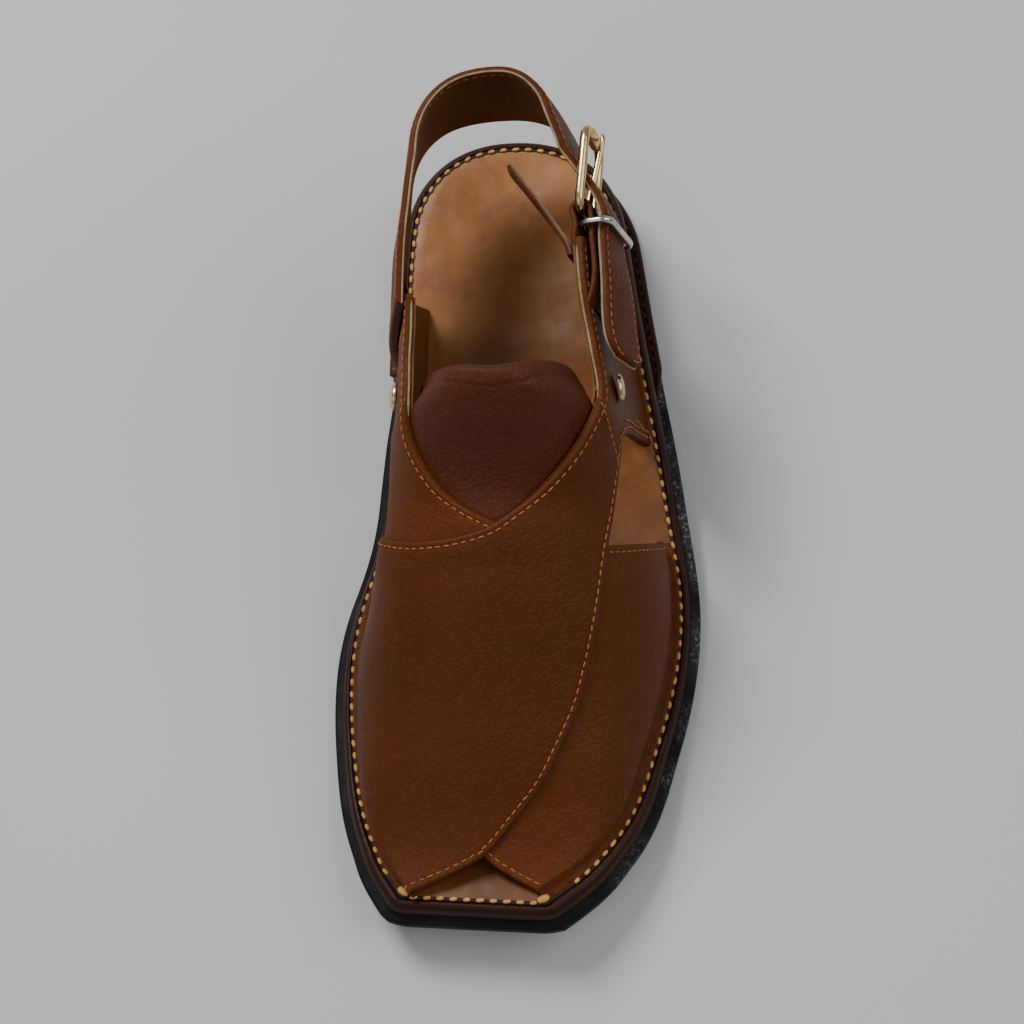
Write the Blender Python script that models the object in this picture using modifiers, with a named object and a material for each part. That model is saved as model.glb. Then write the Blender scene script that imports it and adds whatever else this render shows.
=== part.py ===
"""Left shoe of a pair of leather chappals with crossed bands, a padded tongue and a buckled heel strap.

Metres, +Z up. The toe points along -Y and the outer side of the foot is +X.
The origin is on the floor, under the centre of the heel seat.
"""

import math

import bmesh
import bpy
import numpy as np
from mathutils import Vector

# Driving sizes
LAST_LENGTH = 0.2650
BALL_WIDTH = 0.1038
HEEL_WIDTH = 0.0682
HEEL_ROUND = 0.0305
INSTEP_RISE = 0.104
HEEL_HEIGHT = 0.029
FOREFOOT_HEIGHT = 0.0125
TOE_SPRING = 0.0137
ARCH_RISE = 0.0032
TOE_SKEW = 0.0025

# Roundness of the last: exponents of its sections and of the heel seen from above
SECTION_POWER = 2.1
HEEL_POWER = 2.3

# Lean of the heel and of the instep, and how far the outer side is drawn in between two places along the foot
HEEL_LEAN = 0.30
INSTEP_LEAN = -0.0055
OUTER_DRAW = 0.0065
DRAW_START = 0.54
DRAW_END = 0.80

# Walls and layers
BAND_WALL = 0.0023
TOP_BAND_RAISE = 0.0008
TOP_BAND_WALL = 0.0028
STRAP_WALL = 0.0024
TONGUE_WALL = 0.0042
INSOLE_THICKNESS = 0.0020
OUTSOLE_FOREFOOT = 0.0066
OUTSOLE_HEEL = 0.0026
MIDSOLE_HEEL = 0.0090
FLARE = 0.0026
FLARE_HEIGHT = 0.0080
SKIRT = 0.0030
CLEARANCE = 0.0003

# Widths beyond the edge of the last
INSOLE_MARGIN = 0.0005
RAND_FOREFOOT = 0.0074
RAND_HEEL = 0.0064
TREAD_MARGIN = 0.0105
RIM_INSET = 0.0032
LIP_MARGIN = 0.0116
LIP_HEIGHT = 0.0052
CORNER_REACH = 1.32
CORNER_STEPS = 3
CORNER_END = 0.075
WEDGE_START = 0.642

# Places along the outer side, in heel rounds: buckle frame and keeper, and what stays clear of them
FRAME_TURN = 1.213
KEEPER_TURN = 1.865
QUARTER_GAP = 0.0054
RIVET_GAP = 0.0062

# Buckle, keeper and rivets
FRAME_LENGTH = 0.031
FRAME_WIDTH = 0.0265
FRAME_WIRE = 0.0032
FRAME_CORNER = 0.0045
PRONG_WIRE = 0.0024
KEEPER_WIRE = 0.0024
KEEPER_CORNER = 0.0022
CHAPE_WALL = 0.0018
CHAPE_WIDTH = 0.0175
GUARD_WALL = 0.0018
GUARD_HEIGHT = 0.0230
RIVET_DIAMETER = 0.0100
RIVET_RISE = 0.0026

# Outline of the last's bottom: half width as shares of ball and heel width, then its middle
OUTLINE = (
    # along the foot, of ball width, of heel width, middle as a share of ball width
    (0.000, 0.211, 0.000, -0.115),
    (0.042, 0.318, 0.000, -0.080),
    (0.068, 0.361, 0.000, -0.065),
    (0.201, 0.465, 0.000, -0.029),
    (0.353, 0.500, 0.000, 0.007),
    (0.524, 0.290, 0.200, 0.041),
    (0.694, 0.130, 0.355, 0.030),
    (0.846, 0.000, 0.500, 0.005),
    (0.960, 0.000, 0.455, -0.004),
    (1.000, 0.000, 0.447, -0.004),
)

# Underside of the sole and height of the foot bed over it
UNDERSIDE = (
    # along, of toe spring, of arch rise
    (0.000, 1.00, 0.00),
    (0.068, 0.62, 0.00),
    (0.163, 0.25, 0.00),
    (0.247, 0.04, 0.00),
    (0.285, 0.00, 0.00),
    (0.398, 0.00, 0.00),
    (0.467, 0.00, 0.25),
    (0.543, 0.00, 0.75),
    (0.638, 0.00, 1.00),
    (0.725, 0.00, 0.44),
    (0.778, 0.00, 0.00),
    (1.000, 0.00, 0.00),
)
THICKNESS = (
    # along, of forefoot height, of heel height
    (0.000, 1.08, 0.00),
    (0.163, 1.04, 0.00),
    (0.315, 1.00, 0.00),
    (0.448, 0.90, 0.00),
    (0.505, 0.89, 0.00),
    (0.581, 0.70, 0.19),
    (0.657, 0.40, 0.49),
    (0.732, 0.15, 0.79),
    (0.808, 0.00, 0.97),
    (1.000, 0.00, 1.00),
)

# Height of the last's ridge over the foot bed, as shares of the instep's rise
RIDGE = (
    (0.000, 0.015),
    (0.027, 0.034),
    (0.087, 0.124),
    (0.152, 0.249),
    (0.228, 0.371),
    (0.300, 0.495),
    (0.372, 0.601),
    (0.406, 0.649),
    (0.448, 0.697),
    (0.490, 0.798),
    (0.546, 0.947),
    (0.600, 0.995),
    (0.657, 1.000),
    (0.702, 1.030),
    (0.801, 1.067),
    (1.000, 1.106),
)
LEAN = ((0.00, 0.0), (0.13, 0.27), (0.32, 0.64), (0.47, 0.91), (0.66, 1.0), (0.81, 0.73), (1.0, 0.73))

# Where the outer quarter ends, just in front of the keeper
QUARTER_END = 1.0 - (HEEL_ROUND * KEEPER_TURN + QUARTER_GAP) / LAST_LENGTH

# Edges of the crossed bands: travel along the band, along the foot, around the last from inner to outer side.
# A row that is given twice is a corner.
TOP_BAND_FRONT = (
    (0.000, 0.004, -1.10),
    (0.025, 0.006, -1.00),
    (0.050, 0.010, -0.70),
    (0.100, 0.017, -0.30),
    (0.150, 0.034, -0.07),
    (0.200, 0.053, 0.04),
    (0.250, 0.095, 0.15),
    (0.325, 0.148, 0.27),
    (0.375, 0.209, 0.35),
    (0.425, 0.269, 0.385),
    (0.475, 0.338, 0.415),
    (0.525, 0.391, 0.44),
    (0.575, 0.440, 0.485),
    (0.625, 0.497, 0.55),
    (0.675, 0.533, 0.605),
    (0.675, 0.533, 0.605),
    (0.725, 0.563, 0.81),
    (0.775, 0.592, 1.00),
    (0.800, 0.602, 1.10),
    (0.800, 0.602, 1.10),
    (1.000, QUARTER_END + 0.028, 1.10),
)
TOP_BAND_BACK = (
    (0.000, 0.486, -1.10),
    (0.025, 0.484, -1.00),
    (0.100, 0.459, -0.80),
    (0.200, 0.434, -0.65),
    (0.300, 0.413, -0.47),
    (0.375, 0.401, -0.30),
    (0.425, 0.400, -0.16),
    (0.475, 0.408, -0.03),
    (0.525, 0.425, 0.06),
    (0.575, 0.453, 0.17),
    (0.625, 0.486, 0.29),
    (0.675, 0.527, 0.42),
    (0.725, 0.566, 0.52),
    (0.800, 0.626, 0.555),
    (0.900, 0.700, 0.575),
    (1.000, QUARTER_END, 0.60),
)
LOWER_BAND_FRONT = (
    (0.000, -0.004, 1.10),
    (0.025, -0.002, 1.00),
    (0.075, 0.002, 0.38),
    (0.125, 0.017, 0.14),
    (0.175, 0.033, 0.02),
    (0.250, 0.080, -0.11),
    (0.350, 0.163, -0.28),
    (0.425, 0.239, -0.40),
    (0.500, 0.315, -0.52),
    (0.575, 0.391, -0.64),
    (0.625, 0.452, -0.72),
    (0.675, 0.499, -0.775),
    (0.725, 0.543, -0.83),
    (0.775, 0.581, -0.90),
    (0.825, 0.601, -1.00),
    (0.850, 0.605, -1.10),
    (0.850, 0.605, -1.10),
    (1.000, 0.694, -1.10),
)
LOWER_BAND_BACK = (
    (0.000, 0.467, 1.10),
    (0.025, 0.463, 1.00),
    (0.100, 0.440, 0.82),
    (0.200, 0.417, 0.62),
    (0.300, 0.402, 0.44),
    (0.375, 0.397, 0.27),
    (0.450, 0.402, 0.12),
    (0.500, 0.416, 0.00),
    (0.550, 0.433, -0.11),
    (0.600, 0.459, -0.235),
    (0.650, 0.491, -0.35),
    (0.700, 0.526, -0.45),
    (0.750, 0.562, -0.505),
    (0.800, 0.601, -0.544),
    (0.900, 0.653, -0.552),
    (1.000, 0.694, -0.562),
)
BAND_STEPS = 40
BAND_COLUMNS = (0.0, 0.03, 0.08, 0.15, 0.25, 0.37, 0.50, 0.63, 0.76, 0.88, 1.0)

# Tongue, from its hidden root to its free end: share of its length, then the half widths around the last
TONGUE = (
    # along, inner side, outer side
    (0.330, -0.30, 0.30),
    (0.420, -0.40, 0.38),
    (0.500, -0.49, 0.44),
    (0.553, -0.55, 0.47),
)
TONGUE_GAP = 0.0004
TONGUE_DROOP = 0.0045
TONGUE_END = (
    # share of the width, along the foot
    (0.00, 0.566),
    (0.06, 0.577),
    (0.16, 0.582),
    (0.32, 0.574),
    (0.52, 0.564),
    (0.72, 0.574),
    (0.86, 0.585),
    (0.95, 0.579),
    (1.00, 0.566),
)

# Heel strap. Turn counts heel rounds: below 0 it runs forward along the inner side, from 0 to 1 it goes
# round the heel, past 1 it runs forward along the outer side. Heights are shares of the heel strap's height.
STRAP_HEIGHT = 0.101
STRAP = (
    # turn at top, height, turn at bottom, height, push out at top, push out at bottom
    (-1.74, 0.910, -1.66, 0.20, 0.0031, 0.0031),
    (-1.40, 0.933, -1.31, 0.22, 0.0031, 0.0031),
    (-1.16, 0.954, -1.05, 0.24, 0.0031, 0.0031),
    (-0.96, 0.968, -0.90, 0.27, 0.0028, 0.0030),
    (-0.83, 0.975, -0.91, 0.37, 0.0024, 0.0024),
    (-0.69, 0.981, -0.88, 0.45, 0.0018, 0.0018),
    (-0.50, 0.987, -0.77, 0.525, 0.0012, 0.0012),
    (-0.29, 0.993, -0.55, 0.578, 0.0006, 0.0006),
    (-0.08, 0.998, -0.24, 0.618, 0.0, 0.0),
    (0.09, 1.000, 0.06, 0.642, 0.0, 0.0),
    (0.25, 1.000, 0.24, 0.630, 0.0, 0.0),
    (0.42, 1.000, 0.42, 0.598, 0.0, 0.0),
    (0.58, 0.996, 0.58, 0.592, 0.0006, 0.0006),
    (0.74, 0.985, 0.74, 0.622, -0.0007, 0.0000),
    (0.88, 0.973, 0.88, 0.658, -0.0024, -0.0014),
    (1.02, 0.945, 1.03, 0.705, -0.0020, -0.0016),
    (1.20, 0.924, 1.22, 0.742, 0.0010, 0.0010),
    (1.45, 0.917, 1.47, 0.744, 0.0052, 0.0056),
    (1.72, 0.908, 1.74, 0.737, 0.0079, 0.0082),
    (2.00, 0.905, 2.03, 0.728, 0.0068, 0.0070),
    (2.50, 0.898, 2.53, 0.720, 0.0057, 0.0063),
    (3.00, 0.886, 3.03, 0.712, 0.0046, 0.0054),
    (3.20, 0.870, 3.28, 0.722, 0.0045, 0.0052),
    (3.30, 0.835, 3.35, 0.755, 0.0046, 0.0050),
)
STRAP_COLUMNS = 6
STRAP_ROWS = 3
STRAP_FRONT_BULGE = 0.0040

# Buckle frame: height share of its middle, its push out and the directions of its sides
FRAME_HEIGHT = 0.834
FRAME_PUSH = 0.0051
FRAME_ALONG = Vector((0.067, 0.993, 0.096))
FRAME_DOWN = Vector((0.290, 0.0, -0.957))

# Leather loop that holds the frame: turn and push of its leaf inside the shoe, then of the one outside
CHAPE_INNER = ((2.54, -0.0015), (2.31, -0.0015), (2.11, -0.0015), (1.97, -0.0013), (1.86, -0.0004))
CHAPE_OUTER = ((1.86, 0.0050), (1.97, 0.0044), (2.09, 0.0042), (2.28, 0.0042))

# Keeper ring round the loop and the strap: shares of the strap's height for its middle and for what it spans
KEEPER_HEIGHT = 0.817
KEEPER_SPAN = 0.180
KEEPER_PUSH = 0.0043
KEEPER_DEPTH = 0.0164
KEEPER_SLACK = 0.0024

# Guard flap behind the buckle: turn, push, shares of its height above and below its middle
GUARD = (
    (2.44, -0.0038, 0.50, 0.50),
    (2.20, -0.0042, 0.50, 0.50),
    (2.02, -0.0052, 0.50, 0.50),
    (1.82, -0.0084, 0.50, 0.50),
    (1.58, -0.0123, 0.50, 0.50),
    (1.34, -0.0167, 0.50, 0.49),
    (1.14, -0.0201, 0.46, 0.42),
    (1.04, -0.0219, 0.36, 0.28),
)
# Height of the flap's middle, as a share of the strap's height
GUARD_MIDDLE = 0.765

# Inner rivet along the foot and around the last. The outer one stands ahead of the strap's tip.
RIVET_INNER = (0.602, -0.725)
RIVET_OUTER_AROUND = 0.690

LEATHER = (0.072, 0.022, 0.010)
DARK_LEATHER = (0.045, 0.013, 0.010)
TAN = (0.260, 0.105, 0.040)
RUBBER = (0.006, 0.006, 0.007)
SUEDE = (0.150, 0.085, 0.028)
BRASS = (0.720, 0.480, 0.180)
STEEL = (0.560, 0.560, 0.550)


def clear_scene():
    for thing in list(bpy.data.objects):
        bpy.data.objects.remove(thing, do_unlink=True)


def make_collection(name):
    collection = bpy.data.collections.new(name)
    bpy.context.scene.collection.children.link(collection)
    return collection


def make_material(name, colour, roughness, metallic=0.0):
    material = bpy.data.materials.new(name)
    material.use_nodes = True
    shader = material.node_tree.nodes["Principled BSDF"]
    shader.inputs["Base Color"].default_value = (*colour, 1.0)
    shader.inputs["Roughness"].default_value = roughness
    shader.inputs["Metallic"].default_value = metallic
    return material


def smooth(stations, values):
    """A smooth curve through the values. Equal values stay flat and the ends run on straight."""
    gaps = np.diff(stations)
    steps = np.diff(values) / gaps
    slopes = np.empty(len(stations))
    slopes[1:-1] = (steps[:-1] * gaps[1:] + steps[1:] * gaps[:-1]) / (gaps[1:] + gaps[:-1])
    slopes[0] = steps[0]
    slopes[-1] = steps[-1]
    for k, step in enumerate(steps):
        if step == 0.0:
            slopes[k] = 0.0
            slopes[k + 1] = 0.0

    def value(at):
        if at <= stations[0]:
            return values[0] + slopes[0] * (at - stations[0])
        if at >= stations[-1]:
            return values[-1] + slopes[-1] * (at - stations[-1])
        k = int(np.searchsorted(stations, at, side="right")) - 1
        t = (at - stations[k]) / gaps[k]
        start = (1 + 2 * t) * (1 - t) ** 2 * values[k] + t * (1 - t) ** 2 * gaps[k] * slopes[k]
        end = t * t * (3 - 2 * t) * values[k + 1] + t * t * (t - 1) * gaps[k] * slopes[k + 1]
        return float(start + end)

    return value


def column(rows, index):
    return np.array([row[index] for row in rows], dtype=float)


def table(rows, *sizes):
    """The sum of each column after the first times its size, as a smooth function of the first column."""
    total = sum(column(rows, k + 1) * size for k, size in enumerate(sizes))
    return smooth(column(rows, 0), total)


half_width = table(OUTLINE, BALL_WIDTH, HEEL_WIDTH)
centre_line = table([(row[0], row[3]) for row in OUTLINE], BALL_WIDTH)
underside_at = table(UNDERSIDE, TOE_SPRING, ARCH_RISE)
thickness_at = table(THICKNESS, FOREFOOT_HEIGHT, HEEL_HEIGHT)
ridge_at = table(RIDGE, INSTEP_RISE)
lean_at = table(LEAN, INSTEP_LEAN)
HEEL_START = 1.0 - HEEL_ROUND / LAST_LENGTH


def y_of(along):
    return HEEL_ROUND - LAST_LENGTH * (1.0 - along)


def along_of(y):
    return 1.0 - (HEEL_ROUND - y) / LAST_LENGTH


def underside(y):
    return max(0.0, underside_at(min(along_of(y), 1.0)))


def foot_bed(y):
    along = min(along_of(y), 1.0)
    return underside(y) + thickness_at(along)


def ease(value, start, end):
    t = min(1.0, max(0.0, (value - start) / (end - start)))
    return t * t * (3.0 - 2.0 * t)


def heel_share(along):
    """The last's width left at this place of the rounded heel."""
    t = min(1.0, max(0.0, (along - HEEL_START) / (1.0 - HEEL_START)))
    return (1.0 - t**HEEL_POWER) ** (1.0 / HEEL_POWER)


def section_width(rise_share):
    return (1.0 - min(1.0, max(0.0, rise_share)) ** SECTION_POWER) ** (1.0 / SECTION_POWER)


def last_surface(along, around):
    """A point of the last: around is -1 at the inner edge of its bottom, 0 on its ridge and
    1 at the outer edge. Past 1 the surface runs on down past the foot bed."""
    turn = max(-1.0, min(1.0, around)) * math.pi / 2
    wide = abs(math.sin(turn)) ** (2 / SECTION_POWER) * (1 if around >= 0 else -1)
    high = max(0.0, math.cos(turn)) ** (2 / SECTION_POWER)
    rise = ridge_at(along) * high
    below = max(0.0, abs(around) - 1.0) / 0.1 * SKIRT
    flare = FLARE * max(0.0, 1.0 - rise / FLARE_HEIGHT) ** 2 + below * 0.6
    side = half_width(along) * heel_share(along)
    drawn = OUTER_DRAW * high * ease(along, DRAW_START, DRAW_END) if around > 0.0 else 0.0
    out = side * wide + flare * (1 if around >= 0 else -1)
    x = centre_line(along) + out + lean_at(along) * high - drawn
    y = y_of(along)
    return Vector((x, y, foot_bed(y) + rise - below))


def last_normal(along, around):
    step = 0.004
    across = last_surface(along, around + step) - last_surface(along, around - step)
    forward = last_surface(along - step, around) - last_surface(along + step, around)
    return forward.cross(across).normalized()


def last_point(along, around, lift=0.0):
    return last_surface(along, around) + last_normal(along, around) * lift


def wall_point(turn, height, push=0.0):
    """A point at this height on the walls of the last's back half."""
    if turn < 0.0:
        y, side, width = turn * HEEL_ROUND, -1.0, 1.0
    elif turn > 1.0:
        y, side, width = (1.0 - turn) * HEEL_ROUND, 1.0, 1.0
    else:
        angle = math.pi * turn
        y = HEEL_ROUND * math.sin(angle) ** (2 / HEEL_POWER)
        side = -1.0 if turn < 0.5 else 1.0
        width = abs(math.cos(angle)) ** (2 / HEEL_POWER)
    along = along_of(y)
    rise_share = (height - foot_bed(y)) / ridge_at(along)
    reach = section_width(rise_share)
    flare = FLARE * max(0.0, 1.0 - (height - foot_bed(y)) / FLARE_HEIGHT) ** 2
    out = half_width(along) * width * reach + flare
    x = centre_line(along) + side * out + lean_at(along) * rise_share
    if side > 0.0:
        x -= OUTER_DRAW * rise_share * width * ease(along, DRAW_START, DRAW_END)
    if y > 0.0:
        y *= 1.0 - HEEL_LEAN * max(0.0, rise_share)
    back = max(0.0, math.sin(math.pi * min(1.0, max(0.0, turn))))
    outward = Vector((side * max(width, 0.02), back, 0.0))
    return Vector((x, y, height)) + outward.normalized() * push


def side_stations(heel_only=False):
    """Places along one side of the last's bottom, from the toe or from the start of the heel wedge."""
    front = [WEDGE_START * (k / 20) ** 1.2 for k in range(20)]
    back = [WEDGE_START + (HEEL_START - WEDGE_START) * k / 9 for k in range(9)]
    turns = [math.pi / 2 * k / 12 for k in range(13)]
    heel = [HEEL_START + (1.0 - HEEL_START) * math.sin(t) ** (2 / HEEL_POWER) for t in turns]
    return ([] if heel_only else front) + back + heel


def bottom_edge(along, side):
    reach = half_width(along) * heel_share(along)
    skew = TOE_SKEW * 0.5 * -side * (1.0 - ease(along, 0.0, 0.15))
    return Vector((centre_line(along) + side * reach, y_of(along) + skew))


def edge_with_normals(side, heel_only):
    """Points of one side of the last's bottom with their outward directions. A whole side begins with the
    toe's corner, where the toe's edge runs on straight to meet the side, which stands out a little there."""
    stations = side_stations(heel_only)
    points = [bottom_edge(along, side) for along in stations]
    normals = []
    for k, along in enumerate(stations):
        before = points[max(0, k - 1)]
        after = points[min(len(points) - 1, k + 1)]
        tangent = (after - before).normalized()
        reach = 1.0 + (CORNER_REACH - 1.0) * (1.0 - ease(along, 0.0, CORNER_END))
        normals.append(Vector((tangent.y, -tangent.x)) * side * reach)
    normals[-1] = Vector((0.0, 1.0))
    if not heel_only:
        toe = bottom_edge(0.0, 1.0) - bottom_edge(0.0, -1.0)
        toe_normal = Vector((toe.y, -toe.x)).normalized()
        corner = toe.normalized() * side * math.sqrt(CORNER_REACH**2 - 1.0)
        points = [points[0]] * CORNER_STEPS + points
        normals = [toe_normal + corner * k / CORNER_STEPS for k in range(CORNER_STEPS)] + normals
    return points, normals


def ring(margin, level, heel_only=False):
    """One closed line around the sole, at a margin beyond the last and at a level, both given by y."""
    sides = []
    for side in (1.0, -1.0):
        points, normals = edge_with_normals(side, heel_only)
        line = []
        for point, normal in zip(points, normals):
            place = point + normal * margin(point.y)
            line.append(Vector((place.x, place.y, level(point.y))))
        sides.append(line)
    return sides


def constant(value):
    return lambda y: value


def stack_mesh(name, rings):
    """A closed solid from rings that go from the middle of its underside round the edge to its top."""
    bm = bmesh.new()
    grid = []
    for outer, inner in rings:
        loop = outer + inner[-2::-1]
        grid.append([bm.verts.new(point) for point in loop])
    total = len(grid[0])
    half = (total + 1) // 2
    for low, high in zip(grid, grid[1:]):
        for k in range(total):
            j = (k + 1) % total
            bm.faces.new((low[k], low[j], high[j], high[k]))
    for verts, flip in ((grid[0], True), (grid[-1], False)):
        for k in range(half - 1):
            face = [verts[k], verts[k + 1], verts[-(k + 2) % total], verts[-(k + 1) % total]]
            face = list(dict.fromkeys(face))
            bm.faces.new(face[::-1] if flip else face)
    bmesh.ops.remove_doubles(bm, verts=bm.verts, dist=0.00001)
    bmesh.ops.recalc_face_normals(bm, faces=bm.faces)
    mesh = bpy.data.meshes.new(name)
    bm.to_mesh(mesh)
    bm.free()
    return mesh


def grid_mesh(name, rows):
    """An open sheet through rows of points."""
    mesh = bpy.data.meshes.new(name)
    wide = len(rows[0])
    faces = []
    for i in range(len(rows) - 1):
        for j in range(wide - 1):
            corner = i * wide + j
            faces.append((corner, corner + 1, corner + wide + 1, corner + wide))
    mesh.from_pydata([tuple(point) for row in rows for point in row], [], faces)
    mesh.update()
    return mesh


def add_object(name, mesh, collection, material=None):
    thing = bpy.data.objects.new(name, mesh)
    collection.objects.link(thing)
    if material:
        mesh.materials.append(material)
    return thing


def shade(thing, angle=40.0):
    thing.data.shade_smooth()
    thing.data.set_sharp_from_angle(angle=math.radians(angle))


def solidify(thing, thickness, offset=1.0):
    modifier = thing.modifiers.new("wall", "SOLIDIFY")
    modifier.thickness = thickness
    modifier.offset = offset
    modifier.use_even_offset = True
    return modifier


def as_mesh(thing, collection):
    """The thing with its modifiers applied, as a plain mesh object that takes its place."""
    graph = bpy.context.evaluated_depsgraph_get()
    mesh = bpy.data.meshes.new_from_object(thing.evaluated_get(graph))
    name = thing.name
    place = thing.matrix_world.copy()
    bpy.data.objects.remove(thing, do_unlink=True)
    bm = bmesh.new()
    bm.from_mesh(mesh)
    bmesh.ops.remove_doubles(bm, verts=bm.verts, dist=0.00001)
    bmesh.ops.triangulate(bm, faces=bm.faces)
    bm.to_mesh(mesh)
    bm.free()
    solid = bpy.data.objects.new(name, mesh)
    solid.matrix_world = place
    collection.objects.link(solid)
    return solid


def boolean(thing, other, operation):
    modifier = thing.modifiers.new(operation.lower(), "BOOLEAN")
    modifier.operation = operation
    modifier.object = other
    other.hide_render = True
    other.display_type = "WIRE"


def band_edge(rows):
    """Along and around as smooth functions of the travel, broken at the rows that are given twice."""
    pieces = []
    start = 0
    for k in range(1, len(rows) + 1):
        if k == len(rows) or rows[k][0] == rows[k - 1][0]:
            piece = rows[start:k]
            travel = column(piece, 0)
            pieces.append((travel[-1], smooth(travel, column(piece, 1)), smooth(travel, column(piece, 2))))
            start = k

    def place(travel):
        for end, along, around in pieces:
            if travel <= end + 1e-9:
                return along(travel), around(travel)
        return along(travel), around(travel)

    return place


def band(name, front_rows, back_rows, lift, collection):
    """A sheet across the last between two edges. Its lift falls to nothing where it becomes the quarter."""
    front = band_edge(front_rows)
    back = band_edge(back_rows)
    rows = []
    for k in range(BAND_STEPS + 1):
        travel = k / BAND_STEPS
        raised = lift * (1.0 - ease(travel, 0.62, 0.80))
        near = front(travel)
        far = back(travel)
        row = []
        for share in BAND_COLUMNS:
            along = near[0] + (far[0] - near[0]) * share
            around = near[1] + (far[1] - near[1]) * share
            row.append(last_point(along, around, raised))
        rows.append(row)
    return add_object(name, grid_mesh(name, rows), collection)


def face_outward(thing):
    """Turns a sheet so that its front side looks away from the inside of the shoe."""
    bm = bmesh.new()
    bm.from_mesh(thing.data)
    inside = Vector((0.0, -0.09, 0.045))
    total = sum((face.calc_center_median() - inside).dot(face.normal) * face.calc_area() for face in bm.faces)
    if total < 0.0:
        bmesh.ops.reverse_faces(bm, faces=bm.faces)
    bm.to_mesh(thing.data)
    bm.free()


def tread_thickness(y):
    return OUTSOLE_FOREFOOT + (OUTSOLE_HEEL - OUTSOLE_FOREFOOT) * ease(along_of(y), 0.60, 0.69)


def tread_top(y):
    return underside(y) + tread_thickness(y)


def rand_margin(y):
    return RAND_FOREFOOT + (RAND_HEEL - RAND_FOREFOOT) * ease(along_of(y), 0.50, 0.80)


def midsole_base(y):
    """Underside of the midsole, on the outsole in front and on the wedge behind."""
    lowest = tread_top(y) + CLEARANCE
    lifted = foot_bed(y) - MIDSOLE_HEEL
    return max(lowest, lowest + (lifted - lowest) * ease(along_of(y), WEDGE_START - 0.02, WEDGE_START + 0.03))


def rim_top(y):
    return foot_bed(y) - 2 * CLEARANCE


def make_outsole(collection, material):
    def lower(inset, rise):
        return ring(lambda y: TREAD_MARGIN - inset, lambda y: underside(y) + rise)

    def upper(inset, drop):
        return ring(lambda y: TREAD_MARGIN - inset, lambda y: tread_top(y) - drop)

    rings = [lower(0.0012, 0.0), lower(0.0002, 0.0010), upper(0.0, 0.0012), upper(0.0008, 0.0)]
    thing = add_object("outsole", stack_mesh("outsole", rings), collection, material)
    shade(thing)
    return thing


def make_midsole(collection, material):
    def side(inset, share):
        """A ring on the rounded side, at a share of the height between the base and the rim."""

        def level(y):
            return midsole_base(y) + (rim_top(y) - midsole_base(y)) * share

        return ring(lambda y: rand_margin(y) - inset, level)

    def pocket_floor(y):
        return foot_bed(y) - INSOLE_THICKNESS - CLEARANCE

    pocket = INSOLE_MARGIN + CLEARANCE
    rings = [
        side(0.0010, 0.0),
        side(0.0002, 0.22),
        side(0.0, 0.50),
        side(0.0006, 0.78),
        side(0.0018, 0.95),
        side(RIM_INSET, 1.0),
        ring(constant(pocket), rim_top),
        ring(constant(pocket), pocket_floor),
    ]
    thing = add_object("midsole", stack_mesh("midsole", rings), collection, material)
    shade(thing)
    return thing


def make_heel_wedge(collection, material):
    def lip(y):
        return rand_margin(y) + (LIP_MARGIN - rand_margin(y)) * ease(along_of(y), WEDGE_START, 0.72)

    def base(y):
        return tread_top(y) + CLEARANCE

    def top(y):
        return midsole_base(y) - CLEARANCE

    def step(y):
        """Height of the stitched step at the foot of the wedge."""
        return base(y) + min(LIP_HEIGHT - OUTSOLE_HEEL, 0.55 * (top(y) - base(y)))

    def waist(y):
        return rand_margin(y) - 0.0008

    rings = [
        ring(lambda y: lip(y) - 0.0012, base, True),
        ring(lip, lambda y: base(y) + 0.35 * (step(y) - base(y)), True),
        ring(lambda y: lip(y) - 0.0010, step, True),
        ring(lambda y: waist(y) + 0.0010, step, True),
        ring(waist, lambda y: step(y) + 0.30 * (top(y) - step(y)), True),
        ring(lambda y: rand_margin(y) - 0.0010, top, True),
    ]
    thing = add_object("heel_wedge", stack_mesh("heel_wedge", rings), collection, material)
    shade(thing)
    return thing


def make_insole(collection, material):
    rings = [
        ring(constant(INSOLE_MARGIN), lambda y: foot_bed(y) - INSOLE_THICKNESS),
        ring(constant(INSOLE_MARGIN), lambda y: foot_bed(y) - 0.0005),
        ring(constant(INSOLE_MARGIN - 0.0005), foot_bed),
    ]
    thing = add_object("insole", stack_mesh("insole", rings), collection, material)
    shade(thing)
    return thing


def make_seat_cutter(cutters):
    """The block of the sole and its clearance, which trims what stands on the rim."""
    rings = [
        ring(constant(0.030), lambda y: underside(y) - 0.030),
        ring(constant(0.030), lambda y: rim_top(y) + CLEARANCE),
        ring(lambda y: rand_margin(y) - RIM_INSET, lambda y: rim_top(y) + CLEARANCE),
        ring(constant(INSOLE_MARGIN + CLEARANCE), lambda y: rim_top(y) + CLEARANCE),
    ]
    return add_object("seat_cutter", stack_mesh("seat_cutter", rings), cutters)


def make_upper(collection, cutters, seat, material):
    """The crossed bands with their quarters, joined into one hollow solid on the rim of the sole."""
    solids = []
    for name, front, back, lift, wall in (
        ("upper", LOWER_BAND_FRONT, LOWER_BAND_BACK, 0.0, BAND_WALL),
        ("top_band", TOP_BAND_FRONT, TOP_BAND_BACK, TOP_BAND_RAISE, TOP_BAND_WALL),
    ):
        thing = band(name, front, back, lift, cutters)
        face_outward(thing)
        solidify(thing, wall)
        solids.append(as_mesh(thing, cutters))
    lower, top = solids
    cutters.objects.unlink(lower)
    collection.objects.link(lower)
    lower.data.materials.clear()
    lower.data.materials.append(material)
    boolean(lower, top, "UNION")
    boolean(lower, seat, "DIFFERENCE")
    weld = lower.modifiers.new("weld", "WELD")
    weld.merge_threshold = 0.0001
    shade(lower)


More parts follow.
